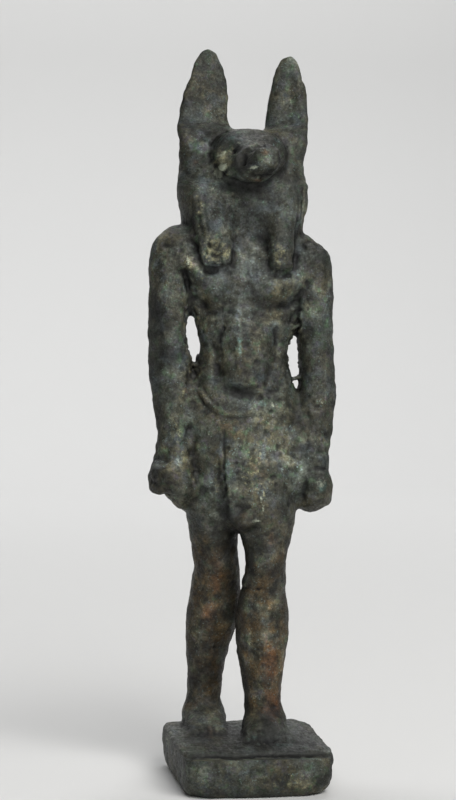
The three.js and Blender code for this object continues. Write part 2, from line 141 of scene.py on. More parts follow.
def loft(table, along="z", ends=(0, 0), turn=0.0, swells=(), pad=2.6, bend=None, soften=None):
    """One lofted body, as the slices of the grid that it needs and its distance there."""
    t = np.array(table, float)
    s0, s1 = t[0, 0], t[-1, 0]
    room = pad + (2.0 if turn else 0.0)
    xs = span(0, t[:, 1].min() - room, t[:, 2].max() + room)
    other = (t[:, 3].min() - room, t[:, 4].max() + room)
    if along == "z":
        sl = (xs, span(1, *other), span(2, s0 - pad, s1 + pad))
    else:
        sl = (xs, span(1, s0 - pad, s1 + pad), span(2, *other))
    x, y, z = grid(sl)
    if bend is not None:
        x, y, z = bend(x, y, z)
    line = AX[2][sl[2]] if along == "z" else AX[1][sl[1]]
    v = at(table, line)
    shape = (1, 1, -1) if along == "z" else (1, -1, 1)
    low, high, front, back, n = [v[:, k].astype(np.float32).reshape(shape) for k in range(1, 6)]
    s = line.reshape(shape)
    if soften is not None:
        n = n - soften(x, y, z)
    shrink = np.ones_like(s)
    if ends[0] > 0:
        shrink = shrink * np.sqrt(np.clip(1 - np.clip((s0 + ends[0] - s) / ends[0], 0, 1) ** 2, 0.01, 1))
    if ends[1] > 0:
        shrink = shrink * np.sqrt(np.clip(1 - np.clip((s - s1 + ends[1]) / ends[1], 0, 1) ** 2, 0.01, 1))
    a = (high - low) / 2 * shrink
    b = (back - front) / 2 * shrink
    p = x - (low + high) / 2
    q = (y if along == "z" else z) - (front + back) / 2
    if turn:
        c, d = math.cos(turn), math.sin(turn)
        p, q = p * c + q * d, -p * d + q * c
    u = np.abs(p / a)
    w = np.abs(q / b)
    un, wn = u**n, w**n
    rad = np.maximum((un + wn) ** (1 / n), 1e-3)
    slope = np.sqrt((un / np.maximum(u, 1e-4) / a) ** 2 + (wn / np.maximum(w, 1e-4) / b) ** 2) / rad ** (n - 1)
    dist = (rad - 1) / np.maximum(slope, 1e-3)
    dist = np.maximum(dist, np.maximum(s0 - s, s - s1))
    for cx, cy, cz, rx, ry, rz, height in swells:
        dist = dist - height * np.exp(-(((x - cx) / rx) ** 2 + ((y - cy) / ry) ** 2 + ((z - cz) / rz) ** 2))
    return sl, tidy(dist.astype(np.float32))


def ball(cx, cy, cz, rx, ry, rz, pad=2.6):
    sl = (span(0, cx - rx - pad, cx + rx + pad), span(1, cy - ry - pad, cy + ry + pad), span(2, cz - rz - pad, cz + rz + pad))
    x, y, z = grid(sl)
    k1 = np.sqrt(((x - cx) / rx) ** 2 + ((y - cy) / ry) ** 2 + ((z - cz) / rz) ** 2)
    k2 = np.sqrt(((x - cx) / rx**2) ** 2 + ((y - cy) / ry**2) ** 2 + ((z - cz) / rz**2) ** 2)
    return sl, (k1 * (k1 - 1) / np.maximum(k2, 1e-4)).astype(np.float32)


def join(part, k=1.0):
    """Adds a body; k is how far the angle between the two is filled, and may vary with z."""
    sl, d = part
    if callable(k):
        k = k(AX[2][sl[2]])[None, None, :].astype(np.float32)
    F[sl] = smin(F[sl], d, k)


def cut(part, k=0.5):
    sl, d = part
    F[sl] = smax(F[sl], -d, k)


def facet(part, edge, normal, zs, k=0.7):
    """Planes off one edge of an upright body. edge lists (z, x, y) along the new arris."""
    sl, d = part
    x, y, z = grid(sl)
    e = np.array(sorted(edge), float)
    ex = np.interp(z, e[:, 0], e[:, 1])
    ey = np.interp(z, e[:, 0], e[:, 2])
    n = np.array(normal, float)
    n = n / np.hypot(*n)
    plane = (x - ex) * n[0] + (y - ey) * n[1]
    plane = plane - 4.0 * (1 - ease((z - zs[0]) / 3.0) * ease((zs[1] - z) / 3.0))
    return sl, smax(d, plane.astype(np.float32), k)


def path(points, steps=8):
    """A smooth line through a few named points, as many short straight pieces."""
    p = np.array(points, float)
    e = np.vstack([2 * p[0] - p[1], p, 2 * p[-1] - p[-2]])
    out = []
    for i in range(len(p) - 1):
        a, b, c, d = e[i : i + 4]
        for t in np.linspace(0, 1, steps, endpoint=False):
            out.append(0.5 * (2 * b + (c - a) * t + (2 * a - 5 * b + 4 * c - d) * t**2 + (3 * b - a - 3 * c + d) * t**3))
    out.append(p[-1])
    return np.array(out)


def stroke(points, width, depth, plane="xz", limits=(-30.0, 6.5), fade=1.0, step=0.0, reach=2.2, taper=True):
    """A carved line (depth > 0) or a raised one (depth < 0), drawn straight through a
    range of the third axis. step also lowers the ground to one side of the line."""
    line = path(points)
    ia, ib, ic = {"xz": (0, 2, 1), "yz": (1, 2, 0)}[plane]
    room = width * 2.6 + (reach * 2.2 if step else 0)
    sl = [None, None, None]
    sl[ia] = span(ia, line[:, 0].min() - room, line[:, 0].max() + room)
    sl[ib] = span(ib, line[:, 1].min() - room, line[:, 1].max() + room)
    sl[ic] = span(ic, limits[0] - 0.5, limits[1] + 0.5)
    A, B = np.meshgrid(AX[ia][sl[ia]], AX[ib][sl[ib]], indexing="ij")
    best = np.full(A.shape, 1e9)
    where = np.zeros(A.shape)
    side = np.zeros(A.shape)
    total = len(line) - 1
    for i in range(total):
        p, q = line[i], line[i + 1]
        e = q - p
        t = np.clip(((A - p[0]) * e[0] + (B - p[1]) * e[1]) / max(e @ e, 1e-9), 0, 1)
        dx, dy = A - p[0] - t * e[0], B - p[1] - t * e[1]
        d = np.hypot(dx, dy)
        m = d < best
        best[m] = d[m]
        where[m] = ((i + t) / total)[m]
        side[m] = np.sign(e[0] * dy - e[1] * dx)[m]
    amount = np.exp(-((best / width) ** 2)) * depth
    if step:
        amount = amount + step * (side > 0) * (1 - np.exp(-((best / (width * 0.6)) ** 2))) * np.exp(-((best / reach) ** 2))
    if taper:
        amount = amount * np.clip(np.minimum(where, 1 - where) * 7, 0, 1) ** 0.6
    c = AX[ic][sl[ic]]
    gate = np.clip((c - limits[0]) / fade, 0, 1) * np.clip((limits[1] - c) / fade, 0, 1)
    shape = [1, 1, 1]
    shape[ic] = -1
    F[tuple(sl)] += (np.expand_dims(amount, ic) * gate.reshape(shape)).astype(np.float32)


def dent(x, z, rx, rz, depth, limits=(-30.0, 6.5)):
    """A small hollow (depth > 0) or lump (depth < 0), at a place on the front."""
    sl = (span(0, x - rx * 2.4, x + rx * 2.4), span(1, *limits), span(2, z - rz * 2.4, z + rz * 2.4))
    X, Y, Z = grid(sl)
    gate = np.clip((Y - limits[0]), 0, 1) * np.clip((limits[1] - Y), 0, 1)
    F[sl] += (depth * gate * np.exp(-(((X - x) / rx) ** 2 + ((Z - z) / rz) ** 2) ** 1.4)).astype(np.float32)


# ---- plinth --------------------------------------------------------------------
hw = PLINTH_W / 2
wall = [
    [0, -hw + 1.1, hw - 1.9, PLINTH_FRONT + 0.9, PLINTH_BACK - 0.7, 7],
    [1.2, -hw + 0.5, hw - 0.9, PLINTH_FRONT + 0.3, PLINTH_BACK - 0.3, 8],
    [4.5, -hw + 0.1, hw - 0.2, PLINTH_FRONT, PLINTH_BACK, 10],
    [11.0, -hw, hw - 0.3, PLINTH_FRONT, PLINTH_BACK, 10],
    [12.0, -hw + 0.1, hw - 0.4, PLINTH_FRONT, PLINTH_BACK, 10],
]


def plinth_bend(x, y, z):
    back = (y - PLINTH_FRONT) / (PLINTH_BACK - PLINTH_FRONT)
    return x / (1 + PLINTH_FLARE / PLINTH_W * back), y, z


sl, d = loft(wall, pad=3.4, bend=plinth_bend)
x, y, z = grid(sl)
back = np.clip((y - PLINTH_FRONT) / (PLINTH_BACK - PLINTH_FRONT), 0, 1)
# the top is a little higher behind the lip that runs along the front edge
lip = ease((y - PLINTH_FRONT - 0.9) / 0.45) * ease((14.0 - x) / 1.5)
top = PLINTH_H + 0.65 * lip + 0.15 * back + 0.1 * np.sin(x * 0.45 + 1.0) - 0.08 * np.cos(y * 0.3)
# the front corners are worn away most near the ground
corner = ease((-14.0 - y) / 4.0) * ease((np.abs(x) - 9.0) / 6.0) * ease((3.2 - z) / 3.2)
F[sl] = np.minimum(F[sl], smax(d + 1.7 * corner.astype(np.float32), (z - top).astype(np.float32), 0.8))
cut(ball(hw + 3.6, PLINTH_BACK - 4.5, PLINTH_H + 1.6, 3.2, 8.0, 2.4), 0.8)

# ---- legs and feet ---------------------------------------------------------------
rear_leg = [
    [6.5, -11.7, -3.0, 9.0, 17.8, 2.3],
    [11, -11.6, -3.1, 9.3, 17.2, 2.2],
    [15.5, -11.0, -3.7, 9.8, 16.6, 2.2],
    [21, -10.9, -3.3, 9.2, 16.7, 2.1],
    [27, -11.2, -1.8, 8.0, 17.3, 2.1],
    [32, -11.1, -0.2, 7.0, 17.3, 2.1],
    [37, -10.6, 0.1, 6.4, 16.4, 2.2],
    [KNEE_Z, -9.8, -0.4, 5.4, 15.3, 2.3],
    [46, -10.3, -0.7, 4.6, 15.2, 2.2],
    [51, -11.1, -0.8, 3.3, 15.3, 2.2],
    [58, -10.8, -0.4, 4.4, 14.8, 2.3],
]
front_leg = [
    [6.5, -0.5, 8.0, -1.6, 7.2, 2.3],
    [12, -0.1, 7.6, -0.9, 6.8, 2.2],
    [17, -0.4, 7.3, -0.5, 6.6, 2.2],
    [22, -1.0, 8.0, -0.4, 7.8, 2.1],
    [28, -1.9, 8.9, -0.5, 9.1, 2.1],
    [32, -2.0, 9.1, -0.7, 9.4, 2.1],
    [37, -1.2, 8.5, -1.0, 8.7, 2.2],
    [KNEE_Z, 0.0, 8.2, -1.5, 8.0, 2.3],
    [46, 0.0, 8.7, -1.3, 8.6, 2.2],
    [50, -1.1, 9.9, -1.0, 9.8, 2.2],
    [54, -1.2, 10.3, -0.5, 10.8, 2.3],
    [58, -0.8, 9.8, 0.8, 12.0, 2.3],
]
rear_foot = [
    [2.4, -10.6, -4.4, 6.6, 10.0, 2.6],
    [4.5, -11.2, -3.8, 6.6, 10.9, 2.6],
    [8, -11.5, -3.5, 6.6, 12.6, 2.4],
    [12, -11.6, -3.3, 6.6, 14.6, 2.2],
    [15, -11.5, -3.4, 6.6, 13.6, 2.2],
    [18.4, -10.6, -4.2, 6.6, 11.4, 2.4],
]
front_foot = [
    [-7.3, -1.5, 4.0, 6.6, 9.8, 2.4],
    [-5.6, -1.7, 5.4, 6.6, 10.7, 2.4],
    [-3, -1.3, 7.0, 6.6, 12.2, 2.3],
    [1, -0.7, 7.9, 6.6, 14.4, 2.2],
    [4.5, -0.4, 7.4, 6.6, 13.2, 2.2],
    [7.6, 0.4, 6.6, 6.6, 11.2, 2.4],
]
rear_muscle = [
    (-5.2, 5.4, KNEE_Z + 0.5, 3.0, 3.5, 3.0, 0.8),
    (-5.2, 16.5, 30, 4.5, 4, 6.5, 0.6),
    (-11, 13.5, 12.6, 3, 3, 2, 0.5),
    (-6.6, 7.6, 27, 1.6, 3, 10, 0.4),
]
front_muscle = [
    (3.4, -1.4, KNEE_Z + 0.3, 2.6, 3.5, 2.8, 0.9),
    (3.4, 9.2, 30, 4.5, 4, 6.5, 0.6),
    (8, 3.2, 12.6, 3, 3, 2, 0.4),
    (3.4, -1.0, 26, 1.5, 3, 10, 0.5),
    (5.4, -0.8, 40.6, 1.0, 3, 2.6, -0.35),
]
join(loft(rear_leg, swells=rear_muscle), 0.8)
join(loft(front_leg, swells=front_muscle), 0.5)
join(loft(rear_foot, along="y", ends=(1.2, 2)), 1.4)
join(loft(front_foot, along="y", ends=(1.4, 2)), 1.4)
join(ball(7.4, -2.4, 8.3, 2.4, 4.6, 1.4), 2.0)

# ---- kilt, torso and chest -------------------------------------------------------
kilt = [
    [HEM_Z - 0.8, -10.5, 9.1, 0.2, 14.6, 2.6],
    [HEM_Z + 1.6, -11.0, 9.8, -0.4, 15.3, 2.7],
    [56, -11.7, 10.7, -0.4, 15.6, 2.7],
    [60, -12.0, 11.6, -0.1, 15.8, 2.7],
    [66, -12.0, 11.9, 0.5, 16.0, 2.6],
    [72, -12.0, 12.0, 1.1, 15.6, 2.5],
    [BELT_Z, -11.7, 11.6, 1.6, 14.8, 2.4],
    [80.5, -11.0, 10.8, 2.4, 13.8, 2.3],
]
hips = [
    (-5.4, 15.6, 70, 5.2, 4, 6.5, 0.9),
    (5.6, 15.6, 70, 5.2, 4, 6.5, 0.9),
    (0, 15.6, 66, 1.5, 3, 9, -0.5),
    (4.2, -0.4, 61, 4.8, 4, 8, 0.45),
]


def crease_x(z):
    return -4.7 + 0.7 * ease((61 - z) / 7.0)


def kilt_bend(x, y, z):
    """The cloth over the leg that is set back falls away behind one long crease."""
    shift = (1.9 * ease((71 - z) / 15) + 1.4 * ease((57 - z) / 7)) * ease((crease_x(z) + 0.35 - x) / 1.0)
    return x, y - shift * ease((9 - y) / 7), z


torso = [
    [76, -11.4, 11.5, 2.2, 14.4, 2.4],
    [80, -11.0, 10.6, 2.6, 13.6, 2.4],
    [83.5, -10.4, 10.0, 3.0, 13.0, 2.4],
    [WAIST_Z, -8.9, 9.6, 3.6, 12.3, 2.3],
    [92, -9.6, 11.5, 3.7, 12.4, 2.3],
    [97, -11.8, 12.4, 3.3, 12.8, 2.5],
    [102, -14.0, 14.0, 2.9, 13.2, 2.6],
    [107, -15.8, 14.8, 3.2, 13.4, 2.5],
    [SHOULDER_Z, -15.6, 13.6, 4.4, 13.2, 2.2],
    [115, -8.5, 8.8, 4.0, 12.6, 2.0],
]
torso_muscle = [
    (-7.0, 2.6, 101.0, 3.4, 4, 2.8, 0.9),
    (-11.8, 3.0, 105.0, 2.0, 4, 2.0, 0.6),
    (-9.4, 2.8, 102.2, 2.0, 4, 2.0, 0.6),
    (-7.4, 2.6, 99.4, 1.8, 4, 2.0, 0.6),
    (8.2, 2.6, 100.4, 4.2, 4, 2.8, 1.3),
    (12.6, 3.0, 103.8, 2.4, 4, 2.4, 0.7),
    (4.6, 2.6, 99.6, 2.6, 4, 2.4, 0.5),
    (-9.6, 3.0, 96.6, 2.8, 4, 2.6, -0.9),
    (-6.4, 3.0, 94.6, 2.2, 4, 1.6, -0.5),
    (9.0, 3.0, 95.0, 3.8, 4, 2.0, -1.0),
    (-9.0, 3.0, 88.0, 2.6, 4, 7.0, -0.5),
    (0.6, 2.6, 104, 1.6, 3, 5, -0.4),
    (0.4, 13.2, 98, 1.8, 3, 12, -0.8),
    (-7.5, 13.0, 104, 4, 3, 5, 0.6),
    (7.5, 13.0, 104, 4, 3, 5, 0.6),
]
panel = [
    [79.2, -4.2, 3.2, 0.6, 8, 2.5],
    [83, -4.7, 4.8, 1.1, 8, 2.5],
    [88, -4.8, 5.8, 1.9, 8, 2.5],
    [92, -4.7, 5.9, 2.6, 8, 2.4],
    [97, -3.4, 3.0, 3.5, 8, 2.0],
]
join(loft(torso, swells=torso_muscle), 0.8)
join(loft(kilt, swells=hips, bend=kilt_bend, ends=(3.0, 0)), lambda z: 0.5 + 1.5 * ease((62 - z) / 7))
join(loft(panel, ends=(1.6, 0)), 0.7)
join(ball(-0.5, 2.0, 52.9, 2.5, 3.9, 2.9), 0.5)

# ---- arms ------------------------------------------------------------------------
right_arm = [
    [57.6, -19.2, -12.2, 1.6, 9.6, 2.6],
    [61, -19.8, -11.8, 1.0, 10.2, 2.7],
    [64.5, -18.9, -11.5, 1.6, 9.9, 2.5],
    [68, -18.0, -11.0, 2.2, 9.6, 2.1],
    [73, -18.1, -10.6, 2.7, 10.4, 2.0],
    [79, -19.0, -10.3, 3.2, 11.8, 2.0],
    [84.5, -19.5, -10.2, 3.8, 12.4, 2.0],
    [88.5, -19.6, -11.3, 4.0, 12.6, 2.1],
    [94, -19.6, -11.4, 4.0, 12.6, 2.2],
    [99, -19.5, -10.6, 3.9, 12.7, 2.2],
    [104, -19.4, -10.2, 3.8, 12.8, 2.2],
    [109, -18.8, -9.8, 4.0, 12.8, 2.1],
    [112.8, -17.2, -9.0, 4.8, 12.2, 2.0],
]
left_arm = [
    [54.8, 12.0, 17.9, 1.2, 9.4, 2.9],
    [59.5, 11.6, 18.1, 0.6, 10.0, 2.7],
    [63.5, 11.5, 17.5, 1.2, 9.8, 2.4],
    [68, 11.2, 17.9, 2.2, 9.6, 2.3],
    [72.5, 11.2, 18.9, 2.8, 10.6, 2.3],
    [78, 11.5, 19.6, 3.2, 11.8, 2.1],
    [81, 11.8, 19.6, 3.5, 12.2, 2.1],
    [86, 11.9, 19.3, 4.0, 12.6, 2.0],
    [90.5, 11.3, 19.1, 4.0, 12.6, 2.0],
    [94, 10.5, 19.1, 4.0, 12.6, 2.0],
    [101, 10.2, 19.0, 3.8, 12.8, 2.2],
    [106.5, 9.8, 18.5, 4.0, 12.8, 2.1],
    [111.0, 9.2, 16.6, 4.8, 12.2, 2.0],
]


def arm_fill(z):
    """Hardly filled at the openings by the waist, and well filled below them."""
    return 0.5 + 2.4 * ease((81 - z) / 6) + 1.4 * ease((z - 94) / 8)


arm = facet(
    loft(right_arm, ends=(1.4, 4.2)),
    [(106, -16.4, 4.0), (97, -16.6, 4.15), (91, -16.5, 4.2), (83, -16.7, 3.9), (77, -16.2, 3.2), (70, -15.5, 2.7), (64, -15.4, 2.0)],
    (-0.78, -0.62),
    (62, 112),
    0.6,
)
join(arm, lambda z: arm_fill(z - 3.2))
arm = facet(
    loft(left_arm, ends=(1.2, 4.2)),
    [(106, 17.0, 4.4), (90, 17.2, 4.6), (79, 16.7, 3.6), (75, 15.9, 3.1), (70, 15.2, 2.7), (65, 14.6, 1.9)],
    (0.68, -0.73),
    (63.5, 110),
    0.35,
)
join(arm, lambda z: arm_fill(z + 1.0))
join(ball(-13.2, 5.4, 59.0, 2.7, 4.2, 4.0), 1.8)
join(ball(14.9, 2.6, 59.2, 2.6, 2.9, 2.9), 0.8)
join(ball(13.7, 5.2, 56.6, 1.8, 3.4, 2.7), 1.8)
join(ball(11.4, 6.4, 61.5, 1.8, 4.6, 5.0), 2.5)
join(ball(-11.4, 6.6, 60.5, 1.6, 4.0, 5.0), 2.5)

# ---- head-cloth and lappets --------------------------------------------------------
wig = [
    [107, -11.4, 11.8, 6.2, 14.0, 2.3],
    [110.5, -12.5, 12.6, 4.2, 14.8, 2.4],
    [114, -12.5, 13.0, 2.9, 15.4, 2.4],
    [117.5, -13.1, 13.9, 2.2, 16.0, 2.4],
    [121, -13.5, 13.7, 2.4, 16.4, 2.4],
    [124.5, -13.1, 13.2, 2.8, 16.4, 2.3],
    [128, -12.4, 12.5, 3.6, 15.8, 2.3],
    [131, -10.6, 11.2, 5.0, 14.4, 2.2],
    [CROWN_Z, -6.6, 7.6, 7.2, 11.8, 2.0],
]
right_lappet = [
    [104.0, -9.6, -2.8, 1.3, 6, 2.4],
    [108, -9.9, -2.6, 0.9, 7, 2.4],
    [113, -10.3, -2.7, 1.2, 8, 2.2],
    [117, -11.0, -3.2, 1.9, 9, 2.1],
    [121, -11.6, -4.0, 3.4, 11, 2.0],
]
left_lappet = [
    [103.3, 5.0, 9.8, 1.2, 6, 2.6],
    [108, 4.7, 10.3, 0.9, 7, 2.5],
    [113, 4.4, 10.9, 1.2, 8, 2.3],
    [117, 4.4, 11.6, 1.9, 9, 2.1],
    [121, 4.8, 12.2, 3.4, 11, 2.0],
]
join(loft(wig, ends=(1.5, 0)), 0.8)
join(loft(right_lappet, ends=(0.7, 0)), lambda z: 0.5 + 2.2 * ease((z - 106) / 7))
join(loft(left_lappet, ends=(0.7, 0)), lambda z: 0.5 + 2.2 * ease((z - 106) / 7))

# ---- ears --------------------------------------------------------------------------
right_ear = [
    [126, -12.5, -3.0, 6.4, 11.6, 2.6],
    [129, -13.0, -2.2, 6.8, 11.0, 2.9],
    [132.5, -13.5, -2.1, 7.2, 10.6, 3.1],
    [136, -13.2, -2.8, 7.4, 10.2, 3.1],
    [140.4, -12.4, -2.7, 7.5, 10.0, 3.0],
    [144, -11.1, -3.2, 7.5, 9.7, 2.7],
    [147.6, -9.8, -4.4, 7.6, 9.4, 2.4],
    [150.1, -8.2, -5.8, 7.8, 9.0, 2.2],
]
left_ear = [
    [126, 3.6, 12.4, 6.4, 11.6, 2.6],
    [129, 4.2, 13.6, 6.8, 11.0, 2.9],
    [132.5, 4.8, 14.0, 7.2, 10.6, 3.1],
    [136, 5.0, 14.0, 7.4, 10.2, 3.1],
    [140, 5.5, 13.8, 7.5, 10.0, 2.9],
    [143.5, 6.3, 13.1, 7.5, 9.7, 2.7],
    [146.8, 7.3, 12.2, 7.6, 9.4, 2.4],
    [149.1, 8.7, 10.9, 7.8, 9.0, 2.2],
]


for table, turn, mid in ((right_ear, 0.12, -7.8), (left_ear, -0.3, 9.6)):
    # the front of each ear is very slightly dished
    dish = [(mid, 6.8, 140.5, 2.9, 2.2, 5.0, -0.45), (mid, 6.6, 133.5, 3.2, 2.2, 4.0, -0.35)]
    join(loft(table, ends=(0, 1.2), turn=turn, swells=dish), 1.8)

# ---- head --------------------------------------------------------------------------
head = [
    [NOSE_Y, HEAD_X - 0.3, HEAD_X + 3.9, 122.6, 126.7, 2.5],
    [-11.4, HEAD_X - 0.9, HEAD_X + 4.3, 122.0, 127.2, 2.5],
    [-9, HEAD_X - 1.7, HEAD_X + 4.4, 121.4, 127.5, 2.4],
    [-6, HEAD_X - 3.0, HEAD_X + 4.5, 121.0, 127.9, 2.3],
    [-3.5, HEAD_X - 4.2, HEAD_X + 4.9, 120.9, 128.9, 2.2],
    [-1.2, HEAD_X - 5.5, HEAD_X + 5.7, 121.1, 130.5, 2.2],
    [1, HEAD_X - 6.9, HEAD_X + 7.0, 121.3, 131.9, 2.2],
    [4, HEAD_X - 7.4, HEAD_X + 7.6, 121.5, 132.6, 2.3],
    [9, HEAD_X - 7.0, HEAD_X + 7.0, 121.6, CROWN_Z, 2.3],
]
features = [
    (HEAD_X - 4.6, -0.6, 129.2, 2.2, 2.0, 1.5, 0.9),
    (HEAD_X + 4.8, -0.6, 129.4, 2.2, 2.0, 1.5, 0.9),
    (HEAD_X - 4.0, -2.2, 127.0, 1.5, 1.5, 1.0, -0.5),
    (HEAD_X + 4.2, -2.2, 127.2, 1.5, 1.5, 1.0, -0.5),
    (HEAD_X - 6.0, 0.8, 123.6, 2.2, 2.6, 1.6, 0.7),
    (HEAD_X - 4.4, -0.4, 123.6, 2.2, 2.2, 1.6, 0.5),
]


def head_bend(x, y, z):
    low = ease((125.5 - z) / 5.0) * ease((y + 4) / 4.0)
    return x - 1.3 * low * ease((2.0 - x) / 4.0) + 0.3 * low * ease((x - 3.0) / 3.0), y, z


def head_soften(x, y, z):
    return 0.4 * ease((126.5 - z) / 3.0) + 0 * x + 0 * y


# the cloth is nicked at the foot of each ear
cut(ball(-15.0, 9.0, 126.3, 1.9, 7.0, 1.1), 0.9)
cut(ball(15.3, 9.0, 126.9, 2.0, 7.0, 0.9), 0.9)
join(loft(head, along="y", ends=(0.7, 0), swells=features, bend=head_bend, soften=head_soften), 1.0)

F = tidy(F)

# ---- carved lines, on the front --------------------------------------------------------
plain = F.copy()
# face: the edge against the cloth, the muzzle's left side, the lip and the jaw
stroke([(-7.3, 125.6), (-7.4, 128.2), (-6.6, 130.0), (-5.0, 131.4), (-3.0, 132.5)], 0.4, 0.6, limits=(-3, 8))
stroke([(6.0, 132.2), (7.9, 131.0), (8.8, 129.5), (9.1, 127.6), (8.8, 125.0), (8.1, 122.8)], 0.35, 0.25, limits=(-3, 8))
stroke([(1.8, 127.5), (0.0, 127.0), (-1.2, 126.0), (-1.8, 124.6), (-1.9, 123.4)], 1.0, 2.2, limits=(-30, -5.0))
stroke([(-2.9, 126.8), (-3.3, 125.2), (-2.9, 123.6)], 0.6, -0.5, limits=(-9, -2))
stroke([(-1.4, 123.2), (-0.2, 122.8), (1.0, 122.8)], 0.35, -0.5, limits=(-30, -6))
stroke([(-2.0, 122.3), (-0.4, 121.8), (1.8, 121.7), (3.6, 122.2)], 0.4, 0.6, limits=(-30, -5))
stroke([(5.5, 126.4), (5.7, 124.4), (4.9, 122.6)], 0.5, 0.6, limits=(-12, -1))
dent(-3.0, 127.0, 0.65, 0.55, 0.9, (-6, 3))
dent(4.8, 125.4, 0.5, 0.7, 0.6, (-15, -8))
dent(2.0, 126.6, 0.9, 0.35, 0.25, (-15, -10))
dent(3.2, 124.4, 0.5, 0.8, 0.2, (-15, -10))
dent(5.9, 129.6, 0.4, 0.4, 0.45, (-6, 3))
dent(-6.2, 124.8, 0.5, 0.6, 0.6, (-4, 6))
dent(-4.5, 123.4, 0.5, 0.5, 0.55, (-4, 6))
dent(-5.3, 125.9, 0.8, 0.7, -0.35, (-4, 6))
dent(-3.9, 124.8, 0.7, 0.6, -0.35, (-4, 6))
# cloth: strands, the edges of the two lappets and their ragged ends
stroke([(-9.9, 119.5), (-9.5, 115), (-8.9, 110.0)], 0.28, 0.3)
stroke([(-8.6, 119.5), (-8.4, 115), (-7.9, 110.5)], 0.28, 0.25)
stroke([(-10.9, 118.5), (-10.7, 114), (-10.0, 110)], 0.3, 0.25)
stroke([(12.1, 121.5), (11.8, 117), (11.3, 113), (10.7, 109.5)], 0.32, 0.45, limits=(-30, 9))
stroke([(11.1, 119.5), (10.8, 115), (10.1, 110.5)], 0.26, 0.3)
stroke([(10.1, 118.0), (9.9, 115.0)], 0.26, 0.2)
stroke([(10.9, 114.8), (10.7, 111), (10.5, 108), (10.1, 103.6)], 0.6, 1.2, limits=(-30, 5))
stroke([(-2.6, 107.5), (-2.5, 106), (-2.8, 103.6)], 0.5, 0.4)
stroke([(-9.8, 109.5), (-9.7, 107.2), (-8.9, 104.6)], 0.5, 0.5)
stroke([(4.3, 106.5), (4.4, 105), (4.6, 103.2)], 0.4, 0.35)
stroke([(4.3, 102.5), (6.8, 102.3), (9.6, 102.7)], 0.5, 0.7)
stroke([(-8.8, 103.5), (-6.0, 102.9), (-2.6, 103.1)], 0.9, 0.9)
dent(-3.4, 104.6, 0.6, 0.6, 0.5)
dent(-9.2, 104.8, 0.7, 0.8, 0.6)
dent(5.4, 103.9, 0.5, 0.5, 0.4)
dent(-7.5, 108.5, 0.75, 0.8, 0.9)
dent(-8.4, 106.9, 0.6, 0.6, 0.7)
dent(-6.9, 106.3, 0.5, 0.5, 0.6)
dent(-5.0, 107.9, 0.9, 0.9, -0.4)
dent(-4.2, 106.0, 0.9, 0.8, -0.45)
dent(-7.6, 105.3, 1.6, 0.4, -0.4)
dent(-5.2, 104.9, 0.5, 0.5, 0.5)
dent(6.4, 105.2, 1.0, 0.35, -0.3)
dent(6.9, 107.2, 0.5, 0.6, 0.35)
dent(5.6, 109.5, 0.5, 0.5, 0.3)
# shoulders
dent(-15.8, 109.2, 1.1, 1.2, 0.5, (-30, 9))
dent(-16.1, 106.8, 0.9, 1.2, 0.45, (-30, 9))
dent(-13.4, 107.4, 0.6, 0.6, 0.4, (-30, 9))
stroke([(12.4, 107.8), (12.8, 109.1), (14.0, 109.7), (15.3, 109.0), (15.6, 107.8)], 0.4, 0.5, limits=(-30, 8))
# chest and armpits
stroke([(-13.6, 107.4), (-11.6, 104.4), (-9.4, 102.0), (-7.4, 100.0)], 0.8, -0.55)
stroke([(-13.2, 104.8), (-12.0, 102.4), (-10.6, 98.9), (-9.2, 96.4), (-7.4, 94.4)], 1.2, 1.1)
stroke([(-11.9, 101.8), (-11.6, 99.2), (-11.0, 96.6)], 0.5, 0.5)
stroke([(13.4, 102.4), (12.5, 100.6), (10.7, 98.1), (8.8, 96.6), (6.6, 96.0), (4.3, 96.4)], 0.9, 0.9)
stroke([(11.3, 98.6), (11.4, 95.5), (11.5, 93.0)], 0.5, 0.25, limits=(-30, 8))
stroke([(-4.4, 99.6), (-4.5, 97.0), (-4.7, 94.4)], 0.25, 0.25)
dent(-6.1, 95.2, 1.3, 0.9, 0.3)
dent(9.4, 93.6, 1.6, 1.2, 0.35)
# belly: a raised panel, its ridge and its overhanging foot
stroke([(-6.0, 92.0), (-3.6, 91.6), (-2.4, 91.7)], 0.7, 0.3)
stroke([(-1.3, 96.0), (-1.4, 89), (-1.5, 83.0)], 0.8, -0.42)
stroke([(6.3, 91.6), (6.4, 88), (6.2, 84.6)], 0.35, 0.4)
stroke([(-5.7, 91.0), (-5.7, 86), (-5.5, 81.6)], 0.9, 0.85)
stroke([(-5.0, 80.6), (-3.4, 78.9), (-1.0, 78.0), (1.6, 77.6), (4.0, 77.4)], 0.9, 0.8)
stroke([(3.6, 81.0), (4.5, 79.2), (6.4, 79.0), (7.0, 80.6)], 0.4, 0.45)
dent(2.0, 84.4, 1.2, 1.2, 0.25)
dent(3.6, 88.0, 0.9, 1.4, 0.2)
# belt: a low roll with a line under it
stroke([(-9.6, 79.6), (-8.3, 77.2), (-6.0, 75.1), (-3.4, 74.3), (-1.0, 74.2), (1.4, 74.8)], 0.45, -0.5)
stroke([(-9.9, 78.6), (-8.6, 76.2), (-6.2, 74.1), (-3.4, 73.4), (-1.0, 73.3)], 0.35, 0.28)
stroke([(-8.9, 79.9), (-7.5, 77.7), (-5.6, 75.9), (-3.3, 75.2), (-1.0, 75.2)], 0.32, 0.2)
dent(5.2, 74.7, 0.7, 0.5, 0.35)
dent(3.3, 76.2, 1.1, 1.1, -0.35)
